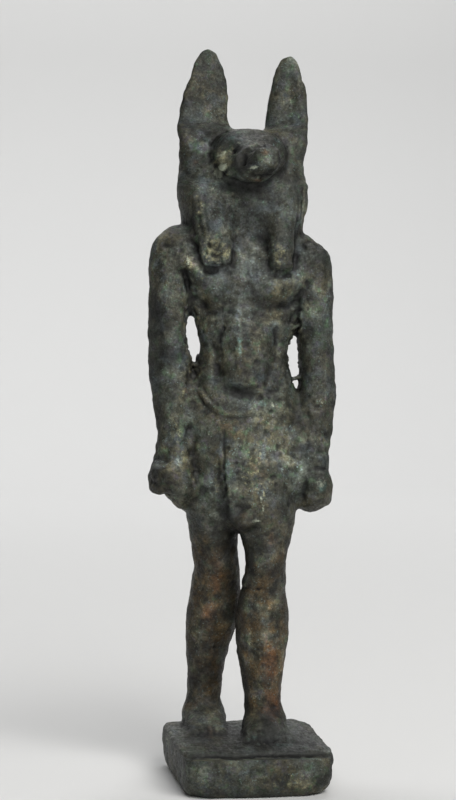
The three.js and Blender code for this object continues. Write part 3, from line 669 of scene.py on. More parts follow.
# kilt
stroke([(-4.7, 71.5), (-4.7, 69), (-4.65, 64.3), (-4.5, 60.5), (-4.3, 57.4), (-4.0, 52.6)], 0.28, 0.42)
stroke([(-2.7, 55.6), (-1.0, 55.2), (0.8, 55.6)], 0.5, 0.5, limits=(-30, 3))
dent(-1.0, 54.2, 1.7, 1.2, 0.45)
dent(0.4, 51.9, 1.6, 0.7, -0.35)
stroke([(2.5, 57.6), (2.9, 55.8), (3.3, 53.8)], 0.22, -0.25)
dent(1.5, 52.5, 1.1, 0.45, -0.3)
dent(-8.6, 58.6, 0.9, 0.9, 0.6)
dent(-10.0, 60.6, 0.5, 0.9, 0.5)
dent(5.3, 61.5, 0.7, 0.6, 0.5)
dent(5.5, 57.6, 1.1, 1.9, 0.25)
dent(-0.6, 56.8, 1.2, 0.4, 0.4)
dent(-7.2, 53.6, 1.0, 0.9, -0.4)
dent(6.2, 67.5, 0.5, 0.6, 0.3)
dent(4.9, 63.6, 0.9, 1.0, -0.25)
stroke([(-11.3, 72.5), (-10.9, 66.0), (-10.0, 61.0)], 1.3, 1.0)
stroke([(-9.4, 57.0), (-8.8, 54.4), (-8.9, 52.2)], 0.5, 0.35)
# forearms and fists
stroke([(-14.5, 79.0), (-14.4, 73.0), (-14.1, 67.9), (-13.9, 64.6)], 0.9, -0.45)
stroke([(16.5, 77.4), (15.8, 74.6)], 0.3, -0.3)
stroke([(15.1, 71.0), (14.2, 65.0)], 0.3, -0.3)
stroke([(13.1, 76.0), (12.9, 70.0), (12.6, 65.0)], 0.6, 0.3)
dent(-18.4, 60.8, 1.1, 1.7, 0.8, (-30, 8))
dent(-16.6, 58.6, 0.8, 0.8, 0.5, (-30, 8))
dent(-15.0, 62.0, 0.8, 0.7, -0.35)
dent(-13.0, 62.6, 0.7, 0.8, -0.3)
stroke([(12.4, 62.4), (14.4, 63.2), (16.6, 62.8)], 0.55, 0.65)
stroke([(11.7, 62.6), (11.9, 58.5), (12.0, 56.0)], 0.7, 0.45)
# legs and feet
stroke([(5.0, 42.8), (4.8, 40.0), (5.2, 37.6)], 0.7, 0.4)
dent(-0.5, 38.7, 0.45, 0.4, 0.45)
dent(2.1, 38.7, 0.5, 0.4, 0.45)
dent(4.6, 48.6, 0.7, 1.6, -0.3)
dent(6.6, 46.5, 0.7, 1.4, 0.4)
stroke([(-8.7, 48.0), (-8.4, 45.0)], 0.5, 0.25, limits=(-30, 12))
for k, (x, lean) in enumerate([(-9.6, -0.1), (-8.0, 0.0), (-6.5, 0.05), (-5.2, 0.1)]):
    stroke([(x, 10.6), (x + lean, 8.6)], 0.36, 0.32, limits=(-30, 5.6))
for k, x in enumerate((0.3, 1.9, 3.3, 4.6)):
    stroke([(x - 0.6, 10.4), (x - 0.7, 8.6)], 0.36, 0.3, limits=(-30, -5.4))
dent(1.7, 10.6, 0.7, 0.8, 0.4, (-30, -4))
# the line cut behind the plinth's front edge
sl = (span(0, -16, 15), span(1, PLINTH_FRONT - 1, PLINTH_FRONT + 4), span(2, PLINTH_H - 2, PLINTH_H + 3))
x, y, z = grid(sl)
line_y = PLINTH_FRONT + 0.95 + 0.12 * np.sin(x * 0.5)
F[sl] += (0.8 * np.exp(-(((y - line_y) / 0.42) ** 2)) * ease((z - PLINTH_H + 1.2) / 0.8) * ease((14.0 - x) / 1.5)).astype(np.float32)


# ---- corrosion -------------------------------------------------------------------------
rng = np.random.RandomState(SEED)
PERM = rng.permutation(256).astype(np.int32)
GRAD = rng.normal(size=(256, 3)).astype(np.float32)
GRAD /= np.linalg.norm(GRAD, axis=1, keepdims=True)


def noise(p, size, shift=0.0):
    """Smooth gradient noise of about -1 to 1, whose lumps are about size millimetres."""
    q = p / np.float32(size) + np.float32(shift)
    i = np.floor(q)
    f = (q - i).astype(np.float32)
    i = i.astype(np.int32)
    u = f * f * f * (f * (f * 6 - 15) + 10)
    total = np.zeros(len(q), np.float32)
    for c in range(8):
        o = np.array([c & 1, (c >> 1) & 1, (c >> 2) & 1], np.int32)
        h = PERM[(i[:, 0] + o[0]) & 255]
        h = PERM[(h + i[:, 1] + o[1]) & 255]
        h = PERM[(h + i[:, 2] + o[2]) & 255]
        g = GRAD[h]
        r = f - o
        w = np.ones(len(q), np.float32)
        for k in range(3):
            w *= u[:, k] if o[k] else 1 - u[:, k]
        total += w * (g[:, 0] * r[:, 0] + g[:, 1] * r[:, 1] + g[:, 2] * r[:, 2])
    return total * 1.8


def patches(p, spots, default=3.0):
    """A soft mask made of named places (x, z, half width, half height, strength[, y, depth])."""
    out = np.zeros(len(p), np.float32)
    for x, z, rx, rz, w, *rest in spots:
        y, ry = rest if rest else (1.0, 7.0)
        m = (np.abs(p[:, 2] - z) < rz * 2.6) & (np.abs(p[:, 0] - x) < rx * 2.6)
        q = p[m]
        out[m] = np.maximum(out[m], w * np.exp(-(((q[:, 0] - x) / rx) ** 2 + ((q[:, 1] - y) / ry) ** 2 + ((q[:, 2] - z) / rz) ** 2)))
    return out


CRUSTY = [
    (-3.9, 125.0, 2.6, 2.8, 1.0),
    (-2.6, 128.2, 2.4, 1.2, 0.5),
    (-6.6, 107.0, 3.2, 3.2, 1.0),
    (6.8, 107.0, 2.2, 3.6, 0.7),
    (8.0, 99.8, 3.6, 2.2, 0.5),
    (-10.6, 104.0, 2.4, 2.6, 0.5),
    (-15.5, 107.5, 2.4, 3.0, 0.6),
    (14.6, 108.5, 2.2, 2.0, 0.6),
    (-0.6, 55.5, 3.6, 2.4, 0.6),
    (-16.5, 60.0, 3.0, 3.4, 0.7),
    (1.0, 9.6, 7.0, 1.6, 0.6, -6.0, 6.0),
]

# no line of the casting runs true: each one fades in and out, and wanders a little
ids = np.nonzero(np.abs(plain) < 2.0)
pts = np.stack([AX[k][ids[k]] for k in range(3)], 1)
keep = np.clip(0.72 + 0.55 * noise(pts, 2.3, 70.0) + 0.35 * noise(pts, 1.1, 71.0), 0.22, 1.1)
F[ids] = plain[ids] + (F[ids] - plain[ids]) * keep
del plain, keep


def sample(field, p):
    q = (p - LOW.astype(np.float32)) / np.float32(CELL)
    q = np.clip(q, 0, (np.array(field.shape) - 1.001).astype(np.float32))
    i = np.floor(q).astype(np.int32)
    f = q - i
    out = np.zeros(len(p), np.float32)
    for c in range(8):
        o = np.array([c & 1, (c >> 1) & 1, (c >> 2) & 1], np.int32)
        w = np.prod(np.where(o, f, 1 - f), axis=1)
        j = i + o
        out += w * field[j[:, 0], j[:, 1], j[:, 2]]
    return out


wander = np.stack([0.15 * noise(pts, 3.1, s) + 0.10 * noise(pts, 1.3, s + 9.0) for s in (61.0, 62.0, 63.0)], 1)
wander = wander * ease((pts[:, 2] - 0.3) / 1.5)[:, None]
F[ids] = sample(F, pts + wander)
del wander

band = np.abs(F) < 1.05
ids = np.nonzero(band)
pts = np.stack([AX[k][ids[k]] for k in range(3)], 1)
front_ness = (0.55 + 0.45 * ease((11.0 - pts[:, 1]) / 6.0)) * (1 - 0.45 * ease((pts[:, 2] - 131.0) / 4.0))
crusty = patches(pts, CRUSTY)
rough = 0.12 * noise(pts, 6.0, 3.1) + 0.11 * noise(pts, 2.9, 9.7) + 0.06 * np.tanh(3.5 * noise(pts, 3.4, 15.2))
fine = 0.085 * noise(pts, 1.35, 5.5) + 0.05 * noise(pts, 0.75, 1.3) + 0.035 * np.tanh(4 * noise(pts, 1.5, 25.0))
patchy = np.clip(noise(pts, 7.5, 21.0) * 1.2 + 0.8, 0.45, 1.5)
F[ids] += (rough * (0.8 + 0.2 * patchy) + fine * patchy * (1 + 1.1 * crusty)) * front_ness
del rough, fine, patchy, crusty

# the openings by the waist have ragged, partly eaten edges
edge = (np.abs(np.abs(pts[:, 0] + 0.1) - 10.6) < 1.6) & (pts[:, 2] > 79) & (pts[:, 2] < 97)
sub = pts[edge]
F[tuple(i[edge] for i in ids)] += (0.32 * noise(sub, 1.5, 50.0) + 0.34 * noise(sub, 0.8, 51.0)) * ease((sub[:, 2] - 79) / 2) * ease((97 - sub[:, 2]) / 2)
join(ball(10.4, 8.0, 81.4, 0.9, 2.2, 0.30, pad=1.2), 0.3)
join(ball(11.4, 7.6, 81.7, 0.8, 2.0, 0.36, pad=1.2), 0.3)

# pits: small hollows scattered over the whole skin, thicker in some places
skin = np.nonzero(np.abs(F) < 0.14)
skin_pts = np.stack([AX[k][skin[k]] for k in range(3)], 1)
skin_pts = skin_pts[skin_pts[:, 2] > 0.6]
dense = noise(skin_pts, 9.0, 40.0)
chance = np.clip(0.35 + 0.9 * dense, 0.04, 1.0)
pick = rng.choice(len(skin_pts), 1500, replace=False, p=chance / chance.sum())
for c in skin_pts[pick]:
    r = 0.16 + 0.3 * rng.rand() ** 2.5
    rr = r * (0.7 + 0.7 * rng.rand(3))
    sl = tuple(span(k, c[k] - rr[k] * 1.8, c[k] + rr[k] * 1.8) for k in range(3))
    x, y, z = grid(sl)
    d2 = ((x - c[0]) / rr[0]) ** 2 + ((y - c[1]) / rr[1]) ** 2 + ((z - c[2]) / rr[2]) ** 2
    F[sl] += (r * (0.35 + 0.5 * rng.rand()) * np.exp(-d2)).astype(np.float32)

# the underside is flat
F = np.maximum(F, -AX[2][None, None, :]).astype(np.float32)


fine_blur = blur(np.clip(F, -1.5, 1.5), 2)
wide_blur = blur(np.clip(F, -3.0, 3.0), 8)


# ---- polygons -----------------------------------------------------------------------------
def surface(field):
    inside = field < 0
    count = np.zeros(tuple(n - 1 for n in field.shape), np.uint8)
    for a in (0, 1):
        for b in (0, 1):
            for c in (0, 1):
                count += inside[a : inside.shape[0] - 1 + a, b : inside.shape[1] - 1 + b, c : inside.shape[2] - 1 + c]
    cells = np.nonzero((count > 0) & (count < 8))
    ci = np.stack(cells, 1)
    number = np.full(count.shape, -1, np.int32)
    number[cells] = np.arange(len(ci))
    total = np.zeros((len(ci), 3), np.float32)
    hits = np.zeros(len(ci), np.float32)
    for axis in range(3):
        o1, o2 = [k for k in range(3) if k != axis]
        for a in (0, 1):
            for b in (0, 1):
                p = ci.copy()
                p[:, o1] += a
                p[:, o2] += b
                q = p.copy()
                q[:, axis] += 1
                fp = field[p[:, 0], p[:, 1], p[:, 2]]
                fq = field[q[:, 0], q[:, 1], q[:, 2]]
                m = (fp < 0) != (fq < 0)
                t = np.where(m, fp / np.where(m, fp - fq, 1), 0)
                pos = p.astype(np.float32)
                pos[:, axis] += t
                total[m] += pos[m]
                hits[m] += 1
    verts = total / hits[:, None] * CELL + LOW.astype(np.float32)
    quads = []
    for axis in range(3):
        o1, o2 = [(1, 2), (2, 0), (0, 1)][axis]
        a = [slice(None)] * 3
        b = [slice(None)] * 3
        a[axis] = slice(0, -1)
        b[axis] = slice(1, None)
        change = inside[tuple(a)] != inside[tuple(b)]
        e = np.stack(np.nonzero(change), 1)
        e = e[(e[:, o1] > 0) & (e[:, o2] > 0) & (e[:, o1] < field.shape[o1] - 1) & (e[:, o2] < field.shape[o2] - 1)]
        first = inside[e[:, 0], e[:, 1], e[:, 2]]
        ring = []
        for da, db in ((-1, -1), (0, -1), (0, 0), (-1, 0)):
            c = e.copy()
            c[:, o1] += da
            c[:, o2] += db
            ring.append(number[c[:, 0], c[:, 1], c[:, 2]])
        q = np.stack(ring, 1)
        q[~first] = q[~first][:, ::-1]
        quads.append(q)
    return verts, np.concatenate(quads)


verts, quads = surface(F)

# only the one large body is kept
label = np.arange(len(verts))
for _ in range(200):
    before = label.copy()
    low = label[quads].min(1)
    for k in range(4):
        np.minimum.at(label, quads[:, k], low)
    label = label[label]
    if (label == before).all():
        break
values, counts = np.unique(label, return_counts=True)
main = values[counts.argmax()]
used = label == main
new = np.cumsum(used) - 1
quads = new[quads[used[quads[:, 0]]]]
verts = verts[used]


def settle(v, q):
    """Evens out the steps of the grid: each point is drawn towards its neighbours and
    then back onto the skin. The underside stays flat."""
    flat = v[:, 2] < 0.02
    a = q.ravel()
    b = q[:, [1, 2, 3, 0]].ravel()
    n = (np.bincount(a, minlength=len(v)) + np.bincount(b, minlength=len(v)))[:, None]

    def mean(v):
        return np.stack([np.bincount(a, v[b, k], len(v)) + np.bincount(b, v[a, k], len(v)) for k in range(3)], 1) / n

    e = np.eye(3, dtype=np.float32) * np.float32(CELL * 0.4)
    for _ in range(3):
        v = (0.35 * v + 0.65 * mean(v)).astype(np.float32)
        g = np.stack([sample(F, v + d) - sample(F, v - d) for d in e], 1) / (CELL * 0.8)
        v = v - np.clip(0.8 * sample(F, v), -0.1, 0.1)[:, None] * g / np.maximum((g * g).sum(1), 0.3)[:, None]
    v = (0.6 * v + 0.4 * mean(v)).astype(np.float32)
    v[:, 2] = np.where(flat, 0, np.maximum(v[:, 2], 0))
    return v


verts = settle(verts, quads)


def make_mesh(name, v, f):
    mesh = bpy.data.meshes.new(name)
    mesh.vertices.add(len(v))
    mesh.vertices.foreach_set("co", v.astype(np.float32).ravel())
    mesh.loops.add(f.size)
    mesh.loops.foreach_set("vertex_index", f.astype(np.int32).ravel())
    mesh.polygons.add(len(f))
    mesh.polygons.foreach_set("loop_start", np.arange(0, f.size, f.shape[1], dtype=np.int32))
    mesh.update(calc_edges=True)
    mesh.validate()
    return mesh


mesh = make_mesh("statuette_fine", (verts - OFFSET) / 1000.0, quads)
statuette = bpy.data.objects.new("statuette", mesh)
bpy.context.scene.collection.objects.link(statuette)

TARGET = 196000
thin = statuette.modifiers.new("thin", "DECIMATE")
thin.ratio = min(1.0, TARGET / (2.0 * len(quads)))
thin.use_collapse_triangulate = True
deps = bpy.context.evaluated_depsgraph_get()
fine = bpy.data.meshes.new_from_object(statuette.evaluated_get(deps))
statuette.modifiers.clear()
statuette.data = fine
bpy.data.meshes.remove(mesh)
mesh = fine
mesh.name = "statuette"
mesh.polygons.foreach_set("use_smooth", np.ones(len(mesh.polygons), bool))
print("triangles", sum(len(p.vertices) - 2 for p in mesh.polygons))


# ---- what the finish needs to know about each point --------------------------------------------
co = np.empty(len(mesh.vertices) * 3, np.float32)
mesh.vertices.foreach_get("co", co)
co[2::3] = np.maximum(co[2::3], 0)
mesh.vertices.foreach_set("co", co)
raw = co.reshape(-1, 3) * 1000.0 + OFFSET.astype(np.float32)


def attribute(name, values):
    a = mesh.attributes.new(name, "FLOAT", "POINT")
    a.data.foreach_set("value", np.clip(values, 0, 1).astype(np.float32))


FOOT = (-10.0, 5.0)  # y and depth of marks far forward, on the front foot and plinth
RUST = [
    (-5.8, 40.8, 1.7, 4.4, 1.3),
    (-7.0, 33.6, 2.1, 3.6, 1.3),
    (-8.4, 27.0, 2.0, 3.0, 0.45),
    (4.6, 23.0, 1.9, 5.0, 1.0),
    (5.0, 15.0, 2.0, 3.6, 1.25),
    (-1.0, 54.0, 2.0, 1.5, 0.45),
    (-7.9, 9.4, 2.2, 1.0, 0.7),
    (-11.6, 87.5, 0.9, 3.0, 0.8),
    (-12.3, 79.4, 0.9, 1.2, 0.6),
    (-10.0, 125.8, 0.9, 0.8, 0.7),
    (-3.0, 71.0, 3.6, 3.4, 0.4),
    (3.4, 64.0, 3.6, 3.0, 0.45),
    (4.9, 48.4, 0.9, 1.9, 0.7),
    (-8.5, 53.5, 1.4, 4.0, 0.4),
    (-14.5, 92.0, 1.6, 4.0, 0.25),
    (-2.6, 111.0, 1.5, 2.0, 0.15),
    (-4.4, 124.9, 0.5, 0.5, 0.9),
    (1.6, 125.6, 1.2, 0.9, 0.7, -13.0, 3.5),
    (0.5, 120.6, 3.6, 0.6, 0.7, -4.0, 5.0),
    (-10.9, 104.6, 1.2, 2.6, 0.3),
    (-16.0, 108.0, 1.6, 2.4, 0.4),
    (13.6, 4.2, 1.0, 2.6, 0.6, *FOOT),
]
CRUST = [
    (-4.5, 125.4, 2.5, 2.9, 1.05),
    (-5.6, 123.6, 1.4, 1.4, 0.9),
    (-7.2, 107.6, 2.6, 3.2, 0.9),
    (-4.4, 106.8, 1.5, 2.4, 0.8),
    (6.6, 107.0, 1.7, 3.6, 0.75),
    (7.6, 99.8, 3.0, 1.6, 0.4),
    (11.2, 101.6, 1.5, 1.6, 0.5),
    (-11.4, 104.6, 1.3, 1.6, 0.6),
    (-9.3, 101.8, 1.5, 1.6, 0.6),
    (-13.8, 70.0, 2.6, 8.0, 0.42),
    (-12.6, 78.6, 0.8, 1.2, 0.8),
    (-9.6, 116.0, 1.8, 6.0, 0.5),
    (1.6, 61.0, 5.0, 8.5, 0.45),
    (-6.0, 59.4, 1.3, 2.6, 0.6),
    (6.0, 2.6, 7.0, 2.2, 0.6, -18.0, 5.0),
    (-11.0, 3.0, 2.0, 2.0, 0.5, -18.0, 5.0),
    (-6.5, 146.0, 2.0, 2.4, 0.4),
    (2.6, 45.4, 2.2, 2.6, 0.5),
    (0.4, 28.0, 1.2, 3.4, 0.4),
    (1.5, 14.5, 1.2, 3.0, 0.6),
    (1.9, 21.0, 1.0, 5.0, 0.45),
    (-9.6, 30.0, 1.0, 6.0, 0.45, 9.0, 6.0),
    (-4.0, 9.6, 2.0, 1.0, 0.3),
    (10.0, 88.0, 0.6, 2.0, 0.3),
]
CHALK = [
    (-5.5, 123.5, 1.0, 1.3, 1.6, 2.0, 6.0),
    (-5.6, 126.6, 0.7, 0.6, 0.9),
    (-4.9, 124.4, 0.6, 0.6, 0.9),
    (-3.4, 125.4, 0.5, 0.5, 0.8),
    (-2.2, 128.7, 0.6, 0.6, 1.0),
    (-4.9, 126.9, 0.5, 0.8, 0.8),
    (-7.0, 119.9, 0.6, 0.6, 0.8),
    (2.6, 56.9, 0.3, 0.9, 1.0),
    (3.0, 55.0, 0.25, 1.2, 0.9),
    (1.5, 52.6, 1.1, 0.45, 1.0),
    (5.3, 76.0, 0.35, 0.8, 0.85),
    (15.2, 60.0, 1.2, 1.3, 0.75),
    (16.0, 76.0, 0.35, 2.0, 0.55),
    (14.3, 67.5, 0.35, 2.6, 0.5),
    (-0.8, 11.1, 0.9, 0.6, 0.8, *FOOT),
    (-9.4, 109.0, 0.5, 0.5, 0.6),
    (-11.7, 105.6, 0.6, 1.6, 0.6),
    (-6.0, 104.9, 1.0, 0.3, 0.7),
    (6.5, 105.2, 0.7, 0.3, 0.7),
    (-0.2, 122.8, 1.1, 0.3, 1.2, -9.0, 4.0),
    (-14.2, 64.6, 0.8, 0.8, 0.4),
    (-13.2, 66.0, 0.5, 0.5, 0.4),
    (-7.6, 70.0, 0.4, 0.7, 0.5),
    (12.7, 9.0, 0.9, 0.4, 0.8, -16.0, 3.0),
    (-15.4, 7.4, 0.6, 2.0, 0.7, 8.0, 6.0),
    (-15.0, 6.8, 0.6, 1.8, 0.6, -4.0, 4.0),
    (-5.6, 77.2, 3.2, 0.35, 0.3),
]
TEAL = [
    (-5.0, 125.0, 2.2, 2.6, 0.45),
    (3.4, 76.2, 1.3, 1.3, 0.9),
    (15.3, 59.4, 1.9, 2.2, 1.0),
    (-4.1, 64.3, 0.9, 2.4, 0.8),
    (-2.4, 66.5, 1.6, 2.0, 0.5),
    (-9.5, 97.5, 1.1, 4.5, 0.55),
    (-1.4, 88.6, 0.8, 5.4, 0.9),
    (-3.0, 129.9, 3.4, 1.4, 1.0),
    (5.9, 129.7, 1.4, 1.3, 1.0),
    (8.0, 126.4, 0.8, 1.6, 0.5),
    (-6.2, 120.8, 1.6, 1.6, 0.75),
    (-4.0, 118.4, 3.0, 2.0, 0.45),
    (3.6, 117.6, 1.6, 1.2, 0.5),
    (-7.9, 136.0, 3.0, 6.0, 0.3),
    (-9.8, 142.6, 0.9, 1.5, 0.8),
    (7.0, 9.2, 5.5, 0.9, 1.0, -11.0, 4.0),
    (5.0, 9.8, 3.0, 1.0, 0.6, *FOOT),
    (9.5, 5.6, 4.4, 2.0, 0.6, -18.0, 4.0),
    (-3.0, 3.6, 6.0, 2.4, 0.45, -18.0, 4.0),
    (-13.0, 111.0, 1.6, 1.6, 0.4),
    (8.6, 92.0, 1.6, 1.2, 0.6),
    (-0.4, 97.0, 1.6, 2.0, 0.4),
    (9.6, 60.0, 1.6, 4.0, 0.45),
    (-13.6, 60.6, 1.6, 2.0, 0.45),
    (-14.8, 57.8, 1.2, 1.2, 0.4),
    (-12.2, 75.0, 1.0, 2.0, 0.3),
    (11.6, 112.0, 1.2, 3.0, 0.4),
    (-1.0, 52.6, 1.0, 1.0, 0.25),
    (1.0, 10.0, 3.4, 1.6, 0.7, -7.0, 4.0),
]
# painted shade and shadows, laid on nearly black: the muzzle's shaded left side, the shadow under the muzzle and jaw,
# under the chest, under the belly panel and under the kilt's knob and hem, along the outer sides of the arms and fists,
# on the rear leg beside the front one and on the front foot's right side; a few spots are dark pits, and one is the
# dark line behind the plinth's front edge
PAINTED_SHADE_SPOTS = [
    (-2.0, 124.5, 1.2, 2.0, 3.2, -8.0, 5.5),
    (-0.4, 127.0, 1.7, 0.7, 2.6, -10.0, 5.5),
    (5.0, 124.6, 0.9, 2.0, 1.8, -9.0, 6.0),
    (4.9, 125.6, 0.6, 0.7, 1.7, -12.0, 3.0),
    (3.2, 122.0, 2.6, 1.1, 1.1, -8.0, 6.0),
    (-1.0, 120.4, 5.0, 1.3, 1.7, 1.0, 6.0),
    (3.6, 123.4, 1.0, 1.4, 0.6, -6.0, 4.0),
    (-0.5, 119.0, 5.0, 1.6, 0.9, 0.0, 6.0),
    (-3.0, 127.0, 0.5, 0.5, 0.9),
    (-6.2, 124.8, 0.5, 0.7, 0.8),
    (-4.4, 123.5, 0.5, 0.6, 0.9),
    (-15.8, 109.0, 1.3, 1.5, 0.7),
    (-16.2, 106.7, 1.0, 1.4, 0.6),
    (-11.7, 103.0, 0.8, 2.0, 0.5),
    (-10.4, 98.8, 1.5, 3.4, 0.95),
    (-8.2, 95.8, 1.8, 1.5, 0.8),
    (11.6, 99.2, 1.4, 1.6, 0.6),
    (8.6, 96.4, 3.4, 1.0, 0.9),
    (6.6, 94.0, 2.2, 1.4, 0.5),
    (-18.6, 60.8, 1.3, 2.4, 0.9),
    (-18.7, 92.0, 1.6, 17.0, 0.85, 5.0, 5.0),
    (18.4, 96.0, 1.3, 12.0, 0.8, 5.0, 6.0),
    (18.4, 82.0, 1.8, 8.0, 0.95, 4.0, 7.0),
    (12.4, 59.6, 0.8, 3.0, 0.6),
    (15.2, 56.4, 2.4, 0.9, 0.9),
    (15.6, 63.0, 2.4, 0.7, 0.9),
    (-5.4, 80.6, 0.9, 2.0, 0.9),
    (-18.0, 72.0, 1.7, 7.0, 0.9, 5.0, 5.0),
    (12.9, 108.8, 1.6, 0.8, 1.2),
    (16.6, 106.5, 1.0, 2.4, 1.1),
    (-5.0, 94.8, 1.6, 1.4, 0.55),
    (-1.8, 91.6, 4.4, 0.8, 0.6),
    (-6.6, 87.0, 1.6, 5.5, 0.8),
    (-10.6, 65.6, 1.1, 4.4, 0.8),
    (-7.0, 79.0, 2.0, 2.4, 0.4),
    (-1.2, 78.4, 4.2, 1.1, 1.25),
    (4.6, 78.6, 1.8, 1.2, 0.8),
    (5.6, 80.0, 2.0, 1.4, 0.4),
    (-0.9, 55.5, 2.2, 0.6, 0.9),
    (-1.0, 50.6, 2.2, 0.8, 0.8),
    (-7.8, 55.6, 2.4, 1.2, 0.5),
    (3.8, 11.0, 2.0, 1.6, 1.6, -5.0, 5.0),
    (14.2, 4.5, 1.4, 4.0, 1.1, -17.0, 5.0),
    (-14.5, 2.0, 1.6, 2.6, 0.8, -17.0, 5.0),
    (0.0, 0.4, 16.0, 0.9, 0.7, -18.0, 4.0),
    (-1.0, 8.4, 26.0, 0.6, 1.9, -17.2, 0.8),
    (8.0, 8.9, 7.0, 0.9, 1.0, -15.6, 1.6),
    (-14.6, 1.4, 1.8, 1.8, 1.0, -17.0, 4.0),
    (-3.6, 53.0, 1.0, 3.0, 0.7),
    (-3.6, 46.0, 2.4, 5.0, 0.5, 5.0, 8.0),
    (-2.8, 34.0, 1.8, 8.0, 0.6, 8.0, 8.0),
    (-5.0, 22.0, 1.6, 6.0, 0.5, 8.0, 8.0),
    (5.6, 40.0, 1.0, 3.2, 0.95),
    (0.5, 44.0, 0.9, 3.6, 0.9, 0.0, 4.0),
    (3.0, 38.4, 2.4, 0.9, 0.25),
    (-0.4, 19.0, 1.2, 6.0, 0.9, 2.0, 5.0),
    (-1.0, 33.0, 0.9, 4.0, 0.7, 2.0, 5.0),
    (6.8, 45.5, 1.0, 3.6, 0.5),
    (-9.5, 20.0, 1.8, 7.0, 0.35, 9.0, 8.0),
    (-7.6, 15.6, 3.4, 1.6, 0.5, 9.0, 8.0),
    (3.4, 12.6, 2.6, 1.6, 0.6, -2.0, 4.0),
    (6.0, 31.0, 1.2, 6.0, 0.35),
    (-8.6, 58.6, 0.8, 0.8, 0.8),
    (5.3, 61.5, 0.6, 0.6, 0.7),
    (5.2, 74.7, 0.8, 0.5, 0.6),
    (0.0, 8.8, 12.0, 0.8, 0.35, -14.0, 4.0),
]
# paler places, partly the patina's own paler patches and partly painted highlight: the lit middles of both arms, the
# lit ridge of the right breast, the belly's ridge, the left ear and the muzzle's tip
PALE_AND_HIGHLIGHT_SPOTS = [
    (9.4, 139.0, 3.4, 7.0, 0.4),
    (1.7, 124.9, 2.2, 2.0, 2.0, -13.0, 4.5),
    (0.4, 106.0, 3.4, 6.0, 0.3),
    (2.6, 66.0, 8.0, 10.0, 0.4),
    (-13.8, 70.5, 2.0, 8.0, 0.6),
    (7.4, 100.2, 3.6, 2.0, 0.2),
    (-9.4, 102.6, 1.6, 1.6, 0.6),
    (-7.4, 99.8, 1.4, 1.6, 0.5),
    (-11.6, 105.4, 1.4, 1.4, 0.5),
    (0.0, 85.0, 4.6, 5.0, 0.2),
    (-1.4, 88.0, 0.6, 5.5, 0.7),
    (-3.9, 86.0, 0.8, 4.5, 0.5),
    (14.6, 88.0, 1.6, 12.0, 0.6),
    (14.2, 107.0, 1.2, 1.2, 0.6),
    (-2.0, 80.4, 3.4, 0.6, 0.8),
    (15.7, 74.0, 0.5, 3.6, 0.6),
    (-15.3, 6.0, 1.2, 3.0, 0.6, 4.0, 12.0),
    (-11.0, 5.4, 3.0, 2.4, 0.4, -18.0, 4.0),
    (-0.5, 53.0, 1.3, 1.0, 0.5),
    (-7.0, 53.6, 1.2, 0.9, 0.5),
    (2.6, 42.0, 1.8, 2.0, 0.5),
    (3.4, 34.0, 1.2, 4.0, 0.25),
]

# tone up and down, partly the patina's own and partly painted light and shade: the left ear painted lit; the shoulders,
# the outer sides of the arms and the right fist in painted shade; a painted shadow on the rear thigh under the kilt;
# the plinth's top and left side in painted shade
TONE_LIGHT_AND_SHADE = [
    (-7.8, 139.0, 5.0, 9.0, -0.4),
    (9.8, 138.5, 2.8, 7.5, 1.2),
    (9.5, 147.5, 2.0, 1.4, -0.5),
    (5.2, 138.0, 0.9, 7.0, -0.5),
    (13.6, 138.0, 0.9, 8.0, -0.4),
    (1.0, 125.0, 4.4, 3.4, -0.3, -6.0, 5.0),
    (1.7, 124.9, 2.2, 2.0, 1.6, -13.0, 4.5),
    (2.0, 129.6, 6.5, 1.5, -0.9, -5.0, 8.0),
    (8.9, 148.6, 2.2, 1.4, -0.8),
    (-7.2, 150.0, 2.4, 1.6, -0.4),
    (0.0, 70.0, 8.0, 3.0, -0.45),
    (-10.5, 117.0, 3.5, 6.0, 0.35),
    (0.5, 113.0, 5.0, 5.0, 0.7),
    (-15.5, 107.5, 3.0, 4.0, -1.5),
    (15.2, 106.5, 3.0, 4.0, -0.75),
    (-0.4, 101.0, 4.6, 5.0, 0.6),
    (-8.0, 101.0, 2.6, 3.4, 0.9),
    (-16.4, 92.0, 3.2, 10.0, -0.4),
    (15.8, 96.0, 3.2, 9.0, -0.85),
    (15.4, 74.0, 2.2, 8.0, -0.1),
    (-7.6, 65.0, 2.6, 8.0, 0.9),
    (2.6, 62.0, 6.5, 8.0, 0.4),
    (0.0, 74.5, 8.0, 2.8, -0.5),
    (10.4, 65.5, 2.6, 7.0, 0.55),
    (-17.4, 60.0, 2.8, 4.0, -1.9),
    (15.2, 60.0, 2.4, 3.0, 0.15),
    (-7.0, 48.0, 4.0, 6.0, -1.2),
    (6.0, 12.0, 3.0, 3.0, -0.3),
    (-6.8, 16.0, 4.0, 5.0, 0.2),
    (3.4, 18.0, 3.0, 5.0, 0.0),
    (2.5, 28.0, 3.0, 7.0, -0.5),
    (0.0, 3.8, 20.0, 3.4, -0.5, -19.0, 5.0),
    (2.0, 11.4, 3.6, 1.8, -0.7, -8.0, 6.0),
    (-8.0, 10.4, 3.6, 1.4, -0.4, 4.0, 6.0),
    (0.0, 9.0, 18.0, 1.1, -1.5, 0.0, 24.0),
    (-16.0, 5.0, 1.4, 5.0, -0.95, 0.0, 22.0),
]


def sum_of(p, spots):
    """Adds up named places, signed, on a scale where one unit halves or doubles a tone."""
    out = np.zeros(len(p), np.float32)
    for x, z, rx, rz, w, *rest in spots:
        y, ry = rest if rest else (1.0, 8.0)
        out += w * np.exp(-(((p[:, 0] - x) / rx) ** 2 + ((p[:, 1] - y) / ry) ** 2 + ((p[:, 2] - z) / rz) ** 2))
    return out


turned = np.empty(len(raw) * 3, np.float32)
mesh.vertex_normals.foreach_get("vector", turned)
